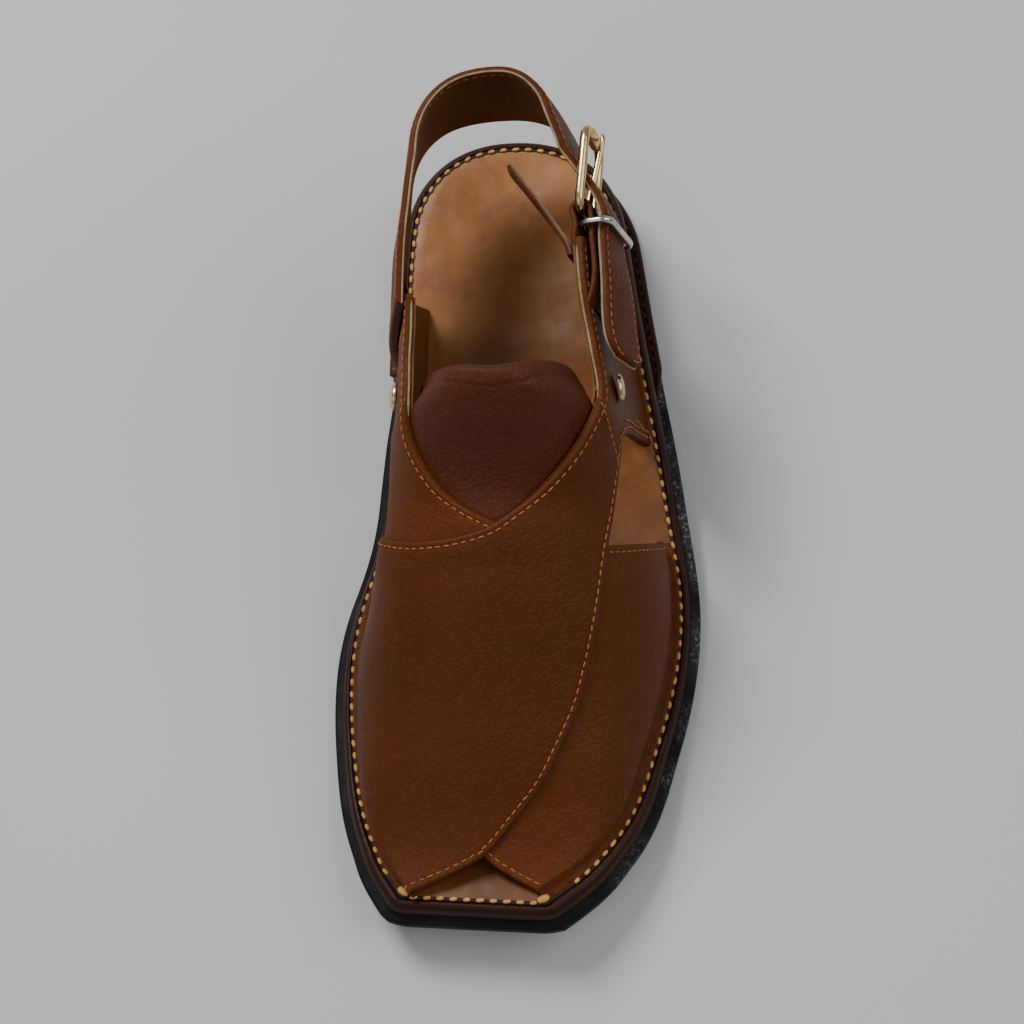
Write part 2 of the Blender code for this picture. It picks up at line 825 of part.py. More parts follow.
def make_tongue(collection, material):
    inner = table([(row[0], row[1]) for row in TONGUE], 1.0)
    outer = table([(row[0], row[2]) for row in TONGUE], 1.0)
    end = table(TONGUE_END, 1.0)
    root = TONGUE[0][0]
    rows = []
    for i in range(15):
        share = i / 14
        row = []
        for j in range(15):
            across = j / 14
            along = root + (end(across) - root) * share
            around = inner(along) + (outer(along) - inner(along)) * across
            droop = TONGUE_DROOP * ease(along, 0.540, 0.590)
            row.append(last_point(along, around, -TONGUE_GAP - droop))
        rows.append(row)
    thing = add_object("tongue", grid_mesh("tongue", rows), collection, material)
    face_outward(thing)
    solidify(thing, TONGUE_WALL, -1.0)
    shade(thing)
    return thing


def strap_line(row):
    """Points down one row of the strap, from its top edge to its bottom edge."""
    top_turn, top_height, low_turn, low_height, top_push, low_push = row
    points = []
    for k in range(STRAP_COLUMNS):
        share = k / (STRAP_COLUMNS - 1)
        turn = top_turn + (low_turn - top_turn) * share
        height = (top_height + (low_height - top_height) * share) * STRAP_HEIGHT
        push = top_push + (low_push - top_push) * share
        points.append(wall_point(turn, height, push))
    return points


def strap_rows():
    """The strap's table with rows worked out between its own, so that its edges run smoothly."""
    numbers = [float(k) for k in range(len(STRAP))]
    curves = [smooth(np.array(numbers), column(STRAP, c)) for c in range(6)]
    total = (len(STRAP) - 1) * STRAP_ROWS
    return [[curve(k / STRAP_ROWS) for curve in curves] for k in range(total + 1)]


def make_heel_strap(collection, seat, hole, material):
    rows = [strap_line(row) for row in strap_rows()]
    for k in range(STRAP_ROWS + 1):
        ease_out = 1.0 - k / (STRAP_ROWS + 1)
        for j, point in enumerate(rows[k]):
            point.y -= STRAP_FRONT_BULGE * ease_out * math.sin(math.pi * j / (STRAP_COLUMNS - 1))
    thing = add_object("heel_strap", grid_mesh("heel_strap", rows), collection, material)
    face_outward(thing)
    solidify(thing, STRAP_WALL).use_even_offset = False
    boolean(thing, seat, "DIFFERENCE")
    boolean(thing, hole, "DIFFERENCE")
    shade(thing)
    return thing


def wire(name, points, diameter, collection, material, cyclic=True):
    curve = bpy.data.curves.new(name, "CURVE")
    curve.dimensions = "3D"
    curve.bevel_depth = diameter / 2
    curve.bevel_resolution = 2
    curve.use_fill_caps = True
    spline = curve.splines.new("POLY")
    spline.points.add(len(points) - 1)
    for slot, point in zip(spline.points, points):
        slot.co = (*point, 1.0)
    spline.use_cyclic_u = cyclic
    if material:
        curve.materials.append(material)
    thing = bpy.data.objects.new(name, curve)
    collection.objects.link(thing)
    return thing


def rounded_loop(length, width, corner, steps=4):
    """Points of a rectangle with round corners, in two directions from its middle."""
    points = []
    for sign_a, sign_b, first in ((1, 1, 0), (-1, 1, 90), (-1, -1, 180), (1, -1, 270)):
        for k in range(steps + 1):
            angle = math.radians(first + 90 * k / steps)
            a = sign_a * (length / 2 - corner) + corner * math.cos(angle)
            b = sign_b * (width / 2 - corner) + corner * math.sin(angle)
            points.append((a, b))
    return points


def turned(name, profile, collection, material, steps=16):
    """A turned solid about its own Z axis, from a profile that runs from the top down."""
    mesh = bpy.data.meshes.new(name)
    mesh.from_pydata([(x, 0.0, z) for x, z in profile], [(k, k + 1) for k in range(len(profile) - 1)], [])
    thing = add_object(name, mesh, collection, material)
    screw = thing.modifiers.new("turn", "SCREW")
    screw.steps = steps
    screw.render_steps = steps
    screw.use_merge_vertices = True
    screw.merge_threshold = 0.00001
    return thing


def make_rivet(name, place, lift, collection, material):
    along, around = place
    radius = RIVET_DIAMETER / 2
    profile = [(0.0, RIVET_RISE)]
    for k in range(1, 6):
        angle = math.radians(90 * k / 5)
        profile.append((radius * math.sin(angle), RIVET_RISE - (RIVET_RISE - 0.0006) * (1 - math.cos(angle))))
    profile += [(radius, 0.0), (0.0, 0.0)]
    thing = turned(name, profile, collection, material)
    normal = last_normal(along, around)
    thing.location = last_point(along, around, lift + CLEARANCE)
    thing.rotation_mode = "QUATERNION"
    thing.rotation_quaternion = normal.to_track_quat("Z", "Y")
    return thing


def frame_place(along, down, out):
    """A point in the buckle frame's own directions, from its middle."""
    middle = wall_point(FRAME_TURN, FRAME_HEIGHT * STRAP_HEIGHT, FRAME_PUSH)
    a = FRAME_ALONG.normalized()
    d = (FRAME_DOWN - a * FRAME_DOWN.dot(a)).normalized()
    return middle + a * along + d * down + d.cross(a).normalized() * out


def make_buckle_frame(collection, material):
    loop = rounded_loop(FRAME_LENGTH - FRAME_WIRE, FRAME_WIDTH - FRAME_WIRE, FRAME_CORNER)
    points = [frame_place(a, b, 0.0) for a, b in loop]
    return wire("buckle_frame", points, FRAME_WIRE, collection, material)


def prong_points():
    """From the front bar, under the strap and up through its hole, onto the rear bar."""
    bar = (FRAME_LENGTH - FRAME_WIRE) / 2
    rest = (FRAME_WIRE + PRONG_WIRE) / 2 + CLEARANCE
    start = -bar + rest
    lower = ((start, 0.10), (start * 0.6, 0.22), (0.0, 0.55))
    upper = ((bar * 0.6, 0.88), (bar, 1.0), (bar * 1.12, 0.93))
    return [frame_place(along, 0.0, share * rest) for along, share in lower + upper]


def make_prong_hole(cutters):
    hole = wire("prong_hole", prong_points(), PRONG_WIRE + 3 * CLEARANCE, cutters, None, cyclic=False)
    return as_mesh(hole, cutters)


def make_buckle_loop(collection, hole, material):
    """A strip from inside the quarter round the front bar of the frame and back outside it."""
    bar = -(FRAME_LENGTH - FRAME_WIRE) / 2
    reach = FRAME_WIRE / 2 + 2 * CLEARANCE + CHAPE_WALL / 2
    columns = []
    for j in range(4):
        drop = (j / 3 - 0.5) * CHAPE_WIDTH
        height = frame_place(bar, drop, 0.0).z
        line = [wall_point(turn, height, push) for turn, push in CHAPE_INNER]
        for k in range(7):
            angle = math.pi * (1.0 - k / 6)
            line.append(frame_place(bar + reach * math.sin(angle), drop, reach * math.cos(angle)))
        line += [wall_point(turn, height, push) for turn, push in CHAPE_OUTER]
        columns.append(line)
    thing = add_object("buckle_loop", grid_mesh("buckle_loop", list(zip(*columns))), collection, material)
    solidify(thing, CHAPE_WALL, 0.0)
    boolean(thing, hole, "DIFFERENCE")
    shade(thing)
    return thing


def make_keeper(collection, material):
    """A wire ring round the loop and the strap."""
    middle = wall_point(KEEPER_TURN, KEEPER_HEIGHT * STRAP_HEIGHT, KEEPER_PUSH)
    down = FRAME_DOWN.normalized()
    out = Vector((-down.z, 0.0, down.x))
    width = KEEPER_SPAN * STRAP_HEIGHT / -down.z + KEEPER_WIRE + KEEPER_SLACK
    points = [middle + down * a + out * b for a, b in rounded_loop(width, KEEPER_DEPTH, KEEPER_CORNER)]
    return wire("keeper_ring", points, KEEPER_WIRE, collection, material)


def make_guard(collection, material):
    """A soft flap that keeps the buckle off the ankle, sewn inside the quarter and free behind."""
    numbers = [float(k) for k in range(len(GUARD))]
    curves = [smooth(np.array(numbers), column(GUARD, c)) for c in range(4)]
    rows = []
    for k in range(2 * len(GUARD) - 1):
        turn, push, above, below = [curve(k / 2) for curve in curves]
        row = []
        for j in range(4):
            rise = above + (-below - above) * j / 3
            row.append(wall_point(turn, GUARD_MIDDLE * STRAP_HEIGHT + rise * GUARD_HEIGHT, push))
        rows.append(row)
    thing = add_object("buckle_guard", grid_mesh("buckle_guard", rows), collection, material)
    solidify(thing, GUARD_WALL, 0.0)
    shade(thing)
    return thing


def main():
    clear_scene()
    parts = make_collection("chappal")
    cutters = make_collection("cutters")
    leather = make_material("brown leather", LEATHER, 0.50)
    dark = make_material("dark leather", DARK_LEATHER, 0.55)
    tan = make_material("tan leather", TAN, 0.50)
    rubber = make_material("black rubber", RUBBER, 0.60)
    brass = make_material("brass", BRASS, 0.25, 1.0)
    steel = make_material("steel", STEEL, 0.25, 1.0)
    suede = make_material("suede", SUEDE, 0.90)
    make_outsole(parts, rubber)
    make_midsole(parts, leather)
    make_heel_wedge(parts, leather)
    make_insole(parts, tan)
    seat = make_seat_cutter(cutters)
    hole = make_prong_hole(cutters)
    make_upper(parts, cutters, seat, leather)
    make_tongue(parts, dark)
    make_heel_strap(parts, seat, hole, leather)
    make_buckle_frame(parts, brass)
    wire("buckle_prong", prong_points(), PRONG_WIRE, parts, brass, cyclic=False)
    make_buckle_loop(parts, hole, leather)
    make_keeper(parts, steel)
    make_guard(parts, suede)
    make_rivet("rivet_medial", RIVET_INNER, BAND_WALL, parts, brass)
    strap_tip = (1.0 - STRAP[-1][2]) * HEEL_ROUND
    outer = (along_of(strap_tip - RIVET_GAP), RIVET_OUTER_AROUND)
    make_rivet("rivet_lateral", outer, TOP_BAND_RAISE + TOP_BAND_WALL, parts, brass)


main()
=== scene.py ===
"""Looks of the left chappal: leather bands, padded tongue, buckled heel strap and stitched sole."""

import math

import bmesh
import bpy
import numpy as np
from mathutils import Matrix, Vector


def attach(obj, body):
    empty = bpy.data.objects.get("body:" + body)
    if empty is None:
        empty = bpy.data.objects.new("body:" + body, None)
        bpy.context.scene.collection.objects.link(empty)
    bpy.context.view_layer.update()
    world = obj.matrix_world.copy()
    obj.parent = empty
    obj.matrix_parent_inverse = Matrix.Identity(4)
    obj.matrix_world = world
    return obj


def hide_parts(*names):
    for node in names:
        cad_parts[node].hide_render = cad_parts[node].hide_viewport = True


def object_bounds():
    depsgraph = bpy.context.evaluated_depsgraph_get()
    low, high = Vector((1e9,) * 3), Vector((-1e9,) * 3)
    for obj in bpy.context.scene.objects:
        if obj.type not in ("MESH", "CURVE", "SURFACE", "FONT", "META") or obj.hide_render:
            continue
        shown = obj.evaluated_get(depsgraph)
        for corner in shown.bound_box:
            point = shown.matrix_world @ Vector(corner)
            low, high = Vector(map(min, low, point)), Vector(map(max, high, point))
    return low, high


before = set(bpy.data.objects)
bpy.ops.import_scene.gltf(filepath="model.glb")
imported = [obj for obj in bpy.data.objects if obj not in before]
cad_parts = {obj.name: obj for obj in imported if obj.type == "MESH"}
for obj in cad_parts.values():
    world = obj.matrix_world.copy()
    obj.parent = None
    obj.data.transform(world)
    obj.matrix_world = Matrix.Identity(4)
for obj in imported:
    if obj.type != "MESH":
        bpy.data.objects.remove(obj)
cad_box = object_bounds()

# Sizes shared with the solids
LAST_LENGTH = 0.2650
BALL_WIDTH = 0.1038
HEEL_WIDTH = 0.0682
HEEL_ROUND = 0.0305
INSTEP_RISE = 0.104
HEEL_HEIGHT = 0.029
FOREFOOT_HEIGHT = 0.0125
TOE_SPRING = 0.0137
ARCH_RISE = 0.0032
TOE_SKEW = 0.0025
SECTION_POWER = 2.1
HEEL_POWER = 2.3
HEEL_LEAN = 0.30
INSTEP_LEAN = -0.0055
OUTER_DRAW = 0.0065
DRAW_START = 0.54
DRAW_END = 0.80
QUARTER_HOLLOW = 0.0038
INNER_LEAN = 0.0018
WALL = 0.0023
RAISE = 0.0010
TOP_WALL = 0.0026
STRAP_WALL = 0.0024
FLARE = 0.0026
FLARE_HEIGHT = 0.0080
OUTSOLE_FOREFOOT = 0.0066
OUTSOLE_HEEL = 0.0026
TREAD_MARGIN = 0.0105
RAND_FOREFOOT = 0.0074
RAND_HEEL = 0.0064
LIP_MARGIN = 0.0116
LIP_HEIGHT = 0.0052
WEDGE_START = 0.642
CORNER_REACH = 1.32
CORNER_END = 0.075
CORNER_KEEP = 0.45
STRAP_HEIGHT = 0.101
FRAME_TURN = 1.213
KEEPER_TURN = 1.865
QUARTER_GAP = 0.0054
QUARTER_END = 1.0 - (HEEL_ROUND * KEEPER_TURN + QUARTER_GAP) / LAST_LENGTH

OUTLINE = (
    # along the foot, shares of ball and heel width in half the width, share of ball width to the side
    (0.000, 0.211, 0.000, -0.115),
    (0.042, 0.318, 0.000, -0.080),
    (0.068, 0.361, 0.000, -0.065),
    (0.201, 0.465, 0.000, -0.029),
    (0.353, 0.500, 0.000, 0.007),
    (0.524, 0.290, 0.200, 0.041),
    (0.694, 0.130, 0.355, 0.030),
    (0.846, 0.000, 0.500, 0.005),
    (0.960, 0.000, 0.455, -0.004),
    (1.000, 0.000, 0.447, -0.004),
)
UNDERSIDE = (
    # along the foot, shares of toe spring and arch rise
    (0.000, 1.00, 0.00),
    (0.068, 0.62, 0.00),
    (0.163, 0.25, 0.00),
    (0.247, 0.04, 0.00),
    (0.285, 0.00, 0.00),
    (0.398, 0.00, 0.00),
    (0.467, 0.00, 0.25),
    (0.543, 0.00, 0.75),
    (0.638, 0.00, 1.00),
    (0.725, 0.00, 0.44),
    (0.778, 0.00, 0.00),
    (1.000, 0.00, 0.00),
)
THICKNESS = (
    # along the foot, shares of forefoot and heel height
    (0.000, 1.08, 0.00),
    (0.163, 1.04, 0.00),
    (0.315, 1.00, 0.00),
    (0.448, 0.90, 0.00),
    (0.505, 0.89, 0.00),
    (0.581, 0.70, 0.19),
    (0.657, 0.40, 0.49),
    (0.732, 0.15, 0.79),
    (0.808, 0.00, 0.97),
    (1.000, 0.00, 1.00),
)
RIDGE = (
    # along the foot, share of the instep's rise
    (0.000, 0.015),
    (0.027, 0.034),
    (0.087, 0.124),
    (0.152, 0.249),
    (0.228, 0.371),
    (0.300, 0.495),
    (0.372, 0.601),
    (0.406, 0.649),
    (0.448, 0.697),
    (0.490, 0.798),
    (0.546, 0.947),
    (0.600, 0.995),
    (0.657, 1.000),
    (0.702, 1.030),
    (0.801, 1.067),
    (1.000, 1.106),
)
# along the foot, share of the instep's lean
LEAN = ((0.00, 0.0), (0.13, 0.27), (0.32, 0.64), (0.47, 0.91), (0.66, 1.0), (0.81, 0.73), (1.0, 0.73))
# Edges of the bands: travel along the band, place along the foot, place around the last (1 at the rim).
# A row given twice is a corner.
TOP_BAND_FRONT = (
    (0.000, -0.009, -1.10),
    (0.025, -0.008, -1.00),
    (0.050, -0.003, -0.70),
    (0.100, 0.011, -0.30),
    (0.150, 0.031, -0.07),
    (0.200, 0.053, 0.04),
    (0.250, 0.095, 0.15),
    (0.325, 0.148, 0.27),
    (0.375, 0.209, 0.35),
    (0.425, 0.269, 0.385),
    (0.475, 0.338, 0.415),
    (0.525, 0.391, 0.44),
    (0.575, 0.440, 0.485),
    (0.625, 0.497, 0.55),
    (0.675, 0.533, 0.605),
    (0.675, 0.533, 0.605),
    (0.725, 0.563, 0.81),
    (0.775, 0.592, 1.00),
    (0.800, 0.602, 1.10),
    (0.800, 0.602, 1.10),
    (1.000, QUARTER_END + 0.028, 1.10),
)
TOP_BAND_BACK = (
    (0.000, 0.486, -1.10),
    (0.025, 0.484, -1.00),
    (0.100, 0.459, -0.80),
    (0.200, 0.434, -0.65),
    (0.300, 0.413, -0.47),
    (0.375, 0.401, -0.30),
    (0.425, 0.400, -0.16),
    (0.475, 0.408, -0.03),
    (0.525, 0.425, 0.06),
    (0.575, 0.453, 0.17),
    (0.625, 0.486, 0.29),
    (0.675, 0.527, 0.42),
    (0.725, 0.566, 0.52),
    (0.800, 0.626, 0.555),
    (0.900, 0.700, 0.575),
    (1.000, QUARTER_END, 0.60),
)
LOWER_BAND_FRONT = (
    (0.000, -0.006, 1.10),
    (0.025, -0.005, 1.00),
    (0.050, -0.001, 0.74),
    (0.075, 0.005, 0.50),
    (0.100, 0.013, 0.31),
    (0.125, 0.023, 0.16),
    (0.150, 0.032, 0.07),
    (0.175, 0.041, 0.01),
    (0.250, 0.080, -0.11),
    (0.350, 0.163, -0.28),
    (0.425, 0.239, -0.40),
    (0.500, 0.315, -0.52),
    (0.575, 0.391, -0.64),
    (0.625, 0.452, -0.72),
    (0.675, 0.499, -0.775),
    (0.725, 0.543, -0.83),
    (0.775, 0.581, -0.90),
    (0.825, 0.601, -1.00),
    (0.850, 0.605, -1.10),
    (0.850, 0.605, -1.10),
    (1.000, 0.694, -1.10),
)
LOWER_BAND_BACK = (
    (0.000, 0.467, 1.10),
    (0.025, 0.463, 1.00),
    (0.100, 0.440, 0.82),
    (0.200, 0.417, 0.62),
    (0.300, 0.402, 0.44),
    (0.375, 0.397, 0.27),
    (0.450, 0.402, 0.12),
    (0.500, 0.416, 0.00),
    (0.550, 0.433, -0.11),
    (0.600, 0.459, -0.235),
    (0.650, 0.491, -0.35),
    (0.700, 0.526, -0.45),
    (0.750, 0.562, -0.505),
    (0.800, 0.601, -0.544),
    (0.900, 0.653, -0.552),
    (1.000, 0.694, -0.562),
)
# along the foot, inner side, outer side
TONGUE = ((0.330, -0.30, 0.30), (0.420, -0.41, 0.38), (0.500, -0.53, 0.45), (0.553, -0.66, 0.53))
TONGUE_END = (
    # share of the width, along the foot
    (0.00, 0.576),
    (0.03, 0.590),
    (0.08, 0.598),
    (0.15, 0.596),
    (0.25, 0.584),
    (0.34, 0.573),
    (0.46, 0.562),
    (0.57, 0.558),
    (0.68, 0.565),
    (0.79, 0.580),
    (0.88, 0.593),
    (0.93, 0.596),
    (0.97, 0.588),
    (1.00, 0.574),
)
TONGUE_GAP = 0.0004
TONGUE_DROOP = 0.0045
TONGUE_WALL = 0.0042
TONGUE_EDGE = 0.35
STRAP = (
    # top edge's turn and height, low edge's turn and height, push outward at top and at bottom
    (-1.74, 0.910, -1.66, 0.20, 0.0031, 0.0031),
    (-1.40, 0.933, -1.31, 0.22, 0.0031, 0.0031),
    (-1.16, 0.954, -1.05, 0.24, 0.0031, 0.0031),
    (-0.96, 0.968, -0.90, 0.27, 0.0028, 0.0030),
    (-0.83, 0.975, -0.91, 0.37, 0.0024, 0.0024),
    (-0.69, 0.981, -0.88, 0.45, 0.0018, 0.0018),
    (-0.50, 0.987, -0.77, 0.525, 0.0012, 0.0012),
    (-0.29, 0.993, -0.55, 0.578, 0.0006, 0.0006),
    (-0.08, 0.998, -0.24, 0.618, 0.0, 0.0),
    (0.09, 1.000, 0.06, 0.642, 0.0, 0.0),
    (0.25, 1.000, 0.24, 0.630, 0.0, 0.0),
    (0.42, 1.000, 0.42, 0.598, 0.0, 0.0),
    (0.58, 0.996, 0.58, 0.592, 0.0006, 0.0006),
    (0.74, 0.985, 0.74, 0.622, -0.0007, 0.0000),
    (0.88, 0.973, 0.88, 0.658, -0.0024, -0.0014),
    (1.02, 0.945, 1.03, 0.705, -0.0020, -0.0016),
    (1.20, 0.924, 1.22, 0.742, 0.0010, 0.0010),
    (1.45, 0.917, 1.47, 0.744, 0.0052, 0.0056),
    (1.72, 0.908, 1.74, 0.737, 0.0079, 0.0082),
    (2.00, 0.905, 2.03, 0.728, 0.0068, 0.0082),
    (2.50, 0.898, 2.53, 0.720, 0.0057, 0.0088),
    (3.00, 0.886, 3.03, 0.712, 0.0046, 0.0084),
    (3.20, 0.870, 3.28, 0.722, 0.0045, 0.0082),
    (3.30, 0.835, 3.35, 0.755, 0.0050, 0.0078),
)
STRAP_FRONT_BULGE = 0.0040
STRAP_CROWN = 0.00035


class Curve:
    """A smooth curve through values at stations, the same as the solids use."""

    def __init__(self, stations, values):
        self.at = np.array(stations, float)
        self.values = np.array(values, float)
        gaps = np.diff(self.at)
        steps = np.diff(self.values) / gaps
        slopes = np.empty(len(self.at))
        slopes[1:-1] = (steps[:-1] * gaps[1:] + steps[1:] * gaps[:-1]) / (gaps[1:] + gaps[:-1])
        slopes[0] = steps[0]
        slopes[-1] = steps[-1]
        for k, step in enumerate(steps):
            if step == 0.0:
                slopes[k] = slopes[k + 1] = 0.0
        self.slopes = slopes

    def __call__(self, at):
        at = np.asarray(at, float)
        s, v, d = self.at, self.values, self.slopes
        k = np.clip(np.searchsorted(s, at, side="right") - 1, 0, len(s) - 2)
        gap = s[k + 1] - s[k]
        t = (at - s[k]) / gap
        inside = (1 + 2 * t) * (1 - t) ** 2 * v[k] + t * (1 - t) ** 2 * gap * d[k]
        inside = inside + t * t * (3 - 2 * t) * v[k + 1] + t * t * (t - 1) * gap * d[k + 1]
        low = v[0] + d[0] * (at - s[0])
        high = v[-1] + d[-1] * (at - s[-1])
        return np.where(at <= s[0], low, np.where(at >= s[-1], high, inside))


def table(rows, *sizes):
    """A curve over a table's first column: the other columns are shares of the sizes."""
    rows = np.array(rows, float)
    return Curve(rows[:, 0], sum(rows[:, k + 1] * size for k, size in enumerate(sizes)))


half_width = table(OUTLINE, BALL_WIDTH, HEEL_WIDTH)
centre_line = table([(row[0], row[3]) for row in OUTLINE], BALL_WIDTH)
underside_at = table(UNDERSIDE, TOE_SPRING, ARCH_RISE)
thickness_at = table(THICKNESS, FOREFOOT_HEIGHT, HEEL_HEIGHT)
ridge_at = table(RIDGE, INSTEP_RISE)
lean_at = table(LEAN, INSTEP_LEAN)
HEEL_START = 1.0 - HEEL_ROUND / LAST_LENGTH


def ease(value, start, end):
    """0 before start, 1 after end, and smooth between them."""
    t = np.clip((np.asarray(value, float) - start) / (end - start), 0.0, 1.0)
    return t * t * (3.0 - 2.0 * t)


def unit(vectors):
    return vectors / np.linalg.norm(vectors, axis=-1, keepdims=True)


def level_side(normal):
    """The normals laid flat, for what is drawn in sideways."""
    side = normal * (1.0, 1.0, 0.0)
    return side / np.maximum(np.linalg.norm(side, axis=-1, keepdims=True), 1e-6)


def arc_of(path):
    """How far along a polyline each of its points is."""
    return np.concatenate([[0.0], np.cumsum(np.linalg.norm(np.diff(path, axis=0), axis=1))])


def sample(at, arc, path):
    return np.stack([np.interp(at, arc, path[:, k]) for k in range(3)], -1)


def y_of(along):
    return HEEL_ROUND - LAST_LENGTH * (1.0 - np.asarray(along, float))


def along_of(y):
    return 1.0 - (HEEL_ROUND - np.asarray(y, float)) / LAST_LENGTH


def underside(y):
    return np.maximum(0.0, underside_at(np.minimum(along_of(y), 1.0)))


def foot_bed(y):
    """Height of the surface that the foot stands on."""
    return underside(y) + thickness_at(np.minimum(along_of(y), 1.0))


def heel_share(along):
    """The width's share left in the round of the heel."""
    t = np.clip((np.asarray(along, float) - HEEL_START) / (1.0 - HEEL_START), 0.0, 1.0)
    return (1.0 - t**HEEL_POWER) ** (1.0 / HEEL_POWER)


def last_surface(along, around):
    """Points of the last: along from toe 0 to heel 1, around from -1 inner rim to 1 outer rim."""
    along, around = np.broadcast_arrays(np.asarray(along, float), np.asarray(around, float))
    turn = np.clip(around, -1.0, 1.0) * math.pi / 2
    sign = np.where(around >= 0, 1.0, -1.0)
    wide = np.abs(np.sin(turn)) ** (2 / SECTION_POWER) * sign
    high = np.maximum(0.0, np.cos(turn)) ** (2 / SECTION_POWER)
    rise = ridge_at(along) * high
    below = np.maximum(0.0, np.abs(around) - 1.0) / 0.1 * 0.003
    flare = FLARE * np.maximum(0.0, 1.0 - rise / FLARE_HEIGHT) ** 2 * 0.4
    side = half_width(along) * heel_share(along)
    drawn = np.where(around > 0, OUTER_DRAW * high * ease(along, DRAW_START, DRAW_END), 0.0)
    hollow = (
        QUARTER_HOLLOW * 9.5 * high * (1 - high) ** 3 * ease(along, 0.48, 0.59)
        * (1 - ease(along, 0.66, 0.80))
    )
    drawn = drawn + np.where(
        around > 0, hollow,
        -INNER_LEAN * ease(high, 0.2, 0.6) * ease(-around, 0.05, 0.40) * ease(along, 0.50, 0.60)
    )
    x = centre_line(along) + side * wide + lean_at(along) * high + flare * sign - drawn
    y = y_of(along)
    return np.stack([x, y, foot_bed(y) + rise - below], -1)


def last_normal(along, around):
    step = 0.004
    across = last_surface(along, around + step) - last_surface(along, around - step)
    forward = last_surface(along - step, around) - last_surface(along + step, around)
    normal = np.cross(forward, across)
    return unit(normal)


def wall_point(turn, height, push):
    """A point of the last's back wall. Turn is below 0 inside, 0 to 1 round the heel, above 1 outside."""
    turn, height, push = np.broadcast_arrays(*[np.asarray(v, float) for v in (turn, height, push)])
    angle = math.pi * np.clip(turn, 0.0, 1.0)
    sine, cosine = np.maximum(np.sin(angle), 0.0), np.abs(np.cos(angle))
    y = np.where(
        turn < 0, turn * HEEL_ROUND,
        np.where(turn > 1, (1 - turn) * HEEL_ROUND, HEEL_ROUND * sine ** (2 / HEEL_POWER))
    )
    side = np.where(turn < 0.5, -1.0, 1.0)
    width = np.where((turn < 0) | (turn > 1), 1.0, cosine ** (2 / HEEL_POWER))
    along = along_of(y)
    share = (height - foot_bed(y)) / ridge_at(along)
    reach = (1.0 - np.clip(share, 0, 1) ** SECTION_POWER) ** (1 / SECTION_POWER)
    flare = FLARE * np.maximum(0.0, 1.0 - (height - foot_bed(y)) / FLARE_HEIGHT) ** 2
    x = centre_line(along) + side * (half_width(along) * width * reach + flare) + lean_at(along) * share
    lean = -INNER_LEAN * ease(share, 0.2, 0.6) * width * ease(along, 0.50, 0.60)
    x = x - np.where(side > 0, OUTER_DRAW * share * width * ease(along, DRAW_START, DRAW_END), lean)
    y = np.where(y > 0, y * (1.0 - HEEL_LEAN * np.maximum(0.0, share)), y)
    out = np.stack([side * np.maximum(width, 0.02), sine, np.zeros_like(sine)], -1)
    return np.stack([x, y, height], -1) + unit(out) * push[..., None]


# Materials


class Nodes:
    """A short way to write a material's node tree."""

    def __init__(self, name):
        self.material = bpy.data.materials.new(name)
        self.material.use_nodes = True
        self.tree = self.material.node_tree
        self.shader = self.tree.nodes["Principled BSDF"]
        self.place = self.tree.nodes.new("ShaderNodeTexCoord").outputs["Object"]

    def add(self, kind, inputs=(), **settings):
        node = self.tree.nodes.new(kind)
        for key, value in settings.items():
            setattr(node, key, value)
        for key, value in dict(inputs).items():
            if isinstance(value, bpy.types.NodeSocket):
                self.tree.links.new(value, node.inputs[key])
            else:
                node.inputs[key].default_value = value
        return node

    def noise(self, scale, detail=3.0, roughness=0.5, distortion=0.0):
        values = {"Vector": self.place, "Scale": scale, "Detail": detail, "Roughness": roughness}
        values["Distortion"] = distortion
        return self.add("ShaderNodeTexNoise", values).outputs["Fac"]

    def cells(self, scale, smoothness):
        values = {"Vector": self.place, "Scale": scale, "Smoothness": smoothness}
        return self.add("ShaderNodeTexVoronoi", values, feature="SMOOTH_F1").outputs["Distance"]

    def ramp(self, factor, *stops):
        node = self.add("ShaderNodeValToRGB", {"Fac": factor})
        elements = node.color_ramp.elements
        while len(elements) < len(stops):
            elements.new(0.5)
        for element, (position, colour) in zip(elements, stops):
            element.position = position
            element.color = (*colour, 1.0)
        return node.outputs["Color"]

    def range(self, value, low, high, out_low, out_high):
        keys = {"Value": value, "From Min": low, "From Max": high, "To Min": out_low, "To Max": out_high}
        return self.add("ShaderNodeMapRange", keys).outputs["Result"]

    def mix(self, factor, a, b, blend="MIX"):
        node = self.add("ShaderNodeMix", data_type="RGBA", blend_type=blend)
        for key, value in ((0, factor), (6, a), (7, b)):
            if isinstance(value, bpy.types.NodeSocket):
                self.tree.links.new(value, node.inputs[key])
            else:
                node.inputs[key].default_value = value if key == 0 else (*value, 1.0)
        return node.outputs[2]

    def math(self, kind, a, b):
        return self.add("ShaderNodeMath", {0: a, 1: b}, operation=kind).outputs[0]

    def bump(self, height, distance, strength=1.0, below=None):
        keys = {"Height": height, "Distance": distance, "Strength": strength}
        if below:
            keys["Normal"] = below
        return self.add("ShaderNodeBump", keys).outputs["Normal"]

    def finish(self, colour, roughness, normal=None, **constants):
        for key, value in (("Base Color", colour), ("Roughness", roughness), ("Normal", normal)):
            if value is None:
                continue
            if isinstance(value, bpy.types.NodeSocket):
                self.tree.links.new(value, self.shader.inputs[key])
            elif key == "Base Color":
                self.shader.inputs[key].default_value = (*value, 1.0)
            else:
                self.shader.inputs[key].default_value = value
        for key, value in constants.items():
            self.shader.inputs[key.replace("_", " ")].default_value = value
        return self.material


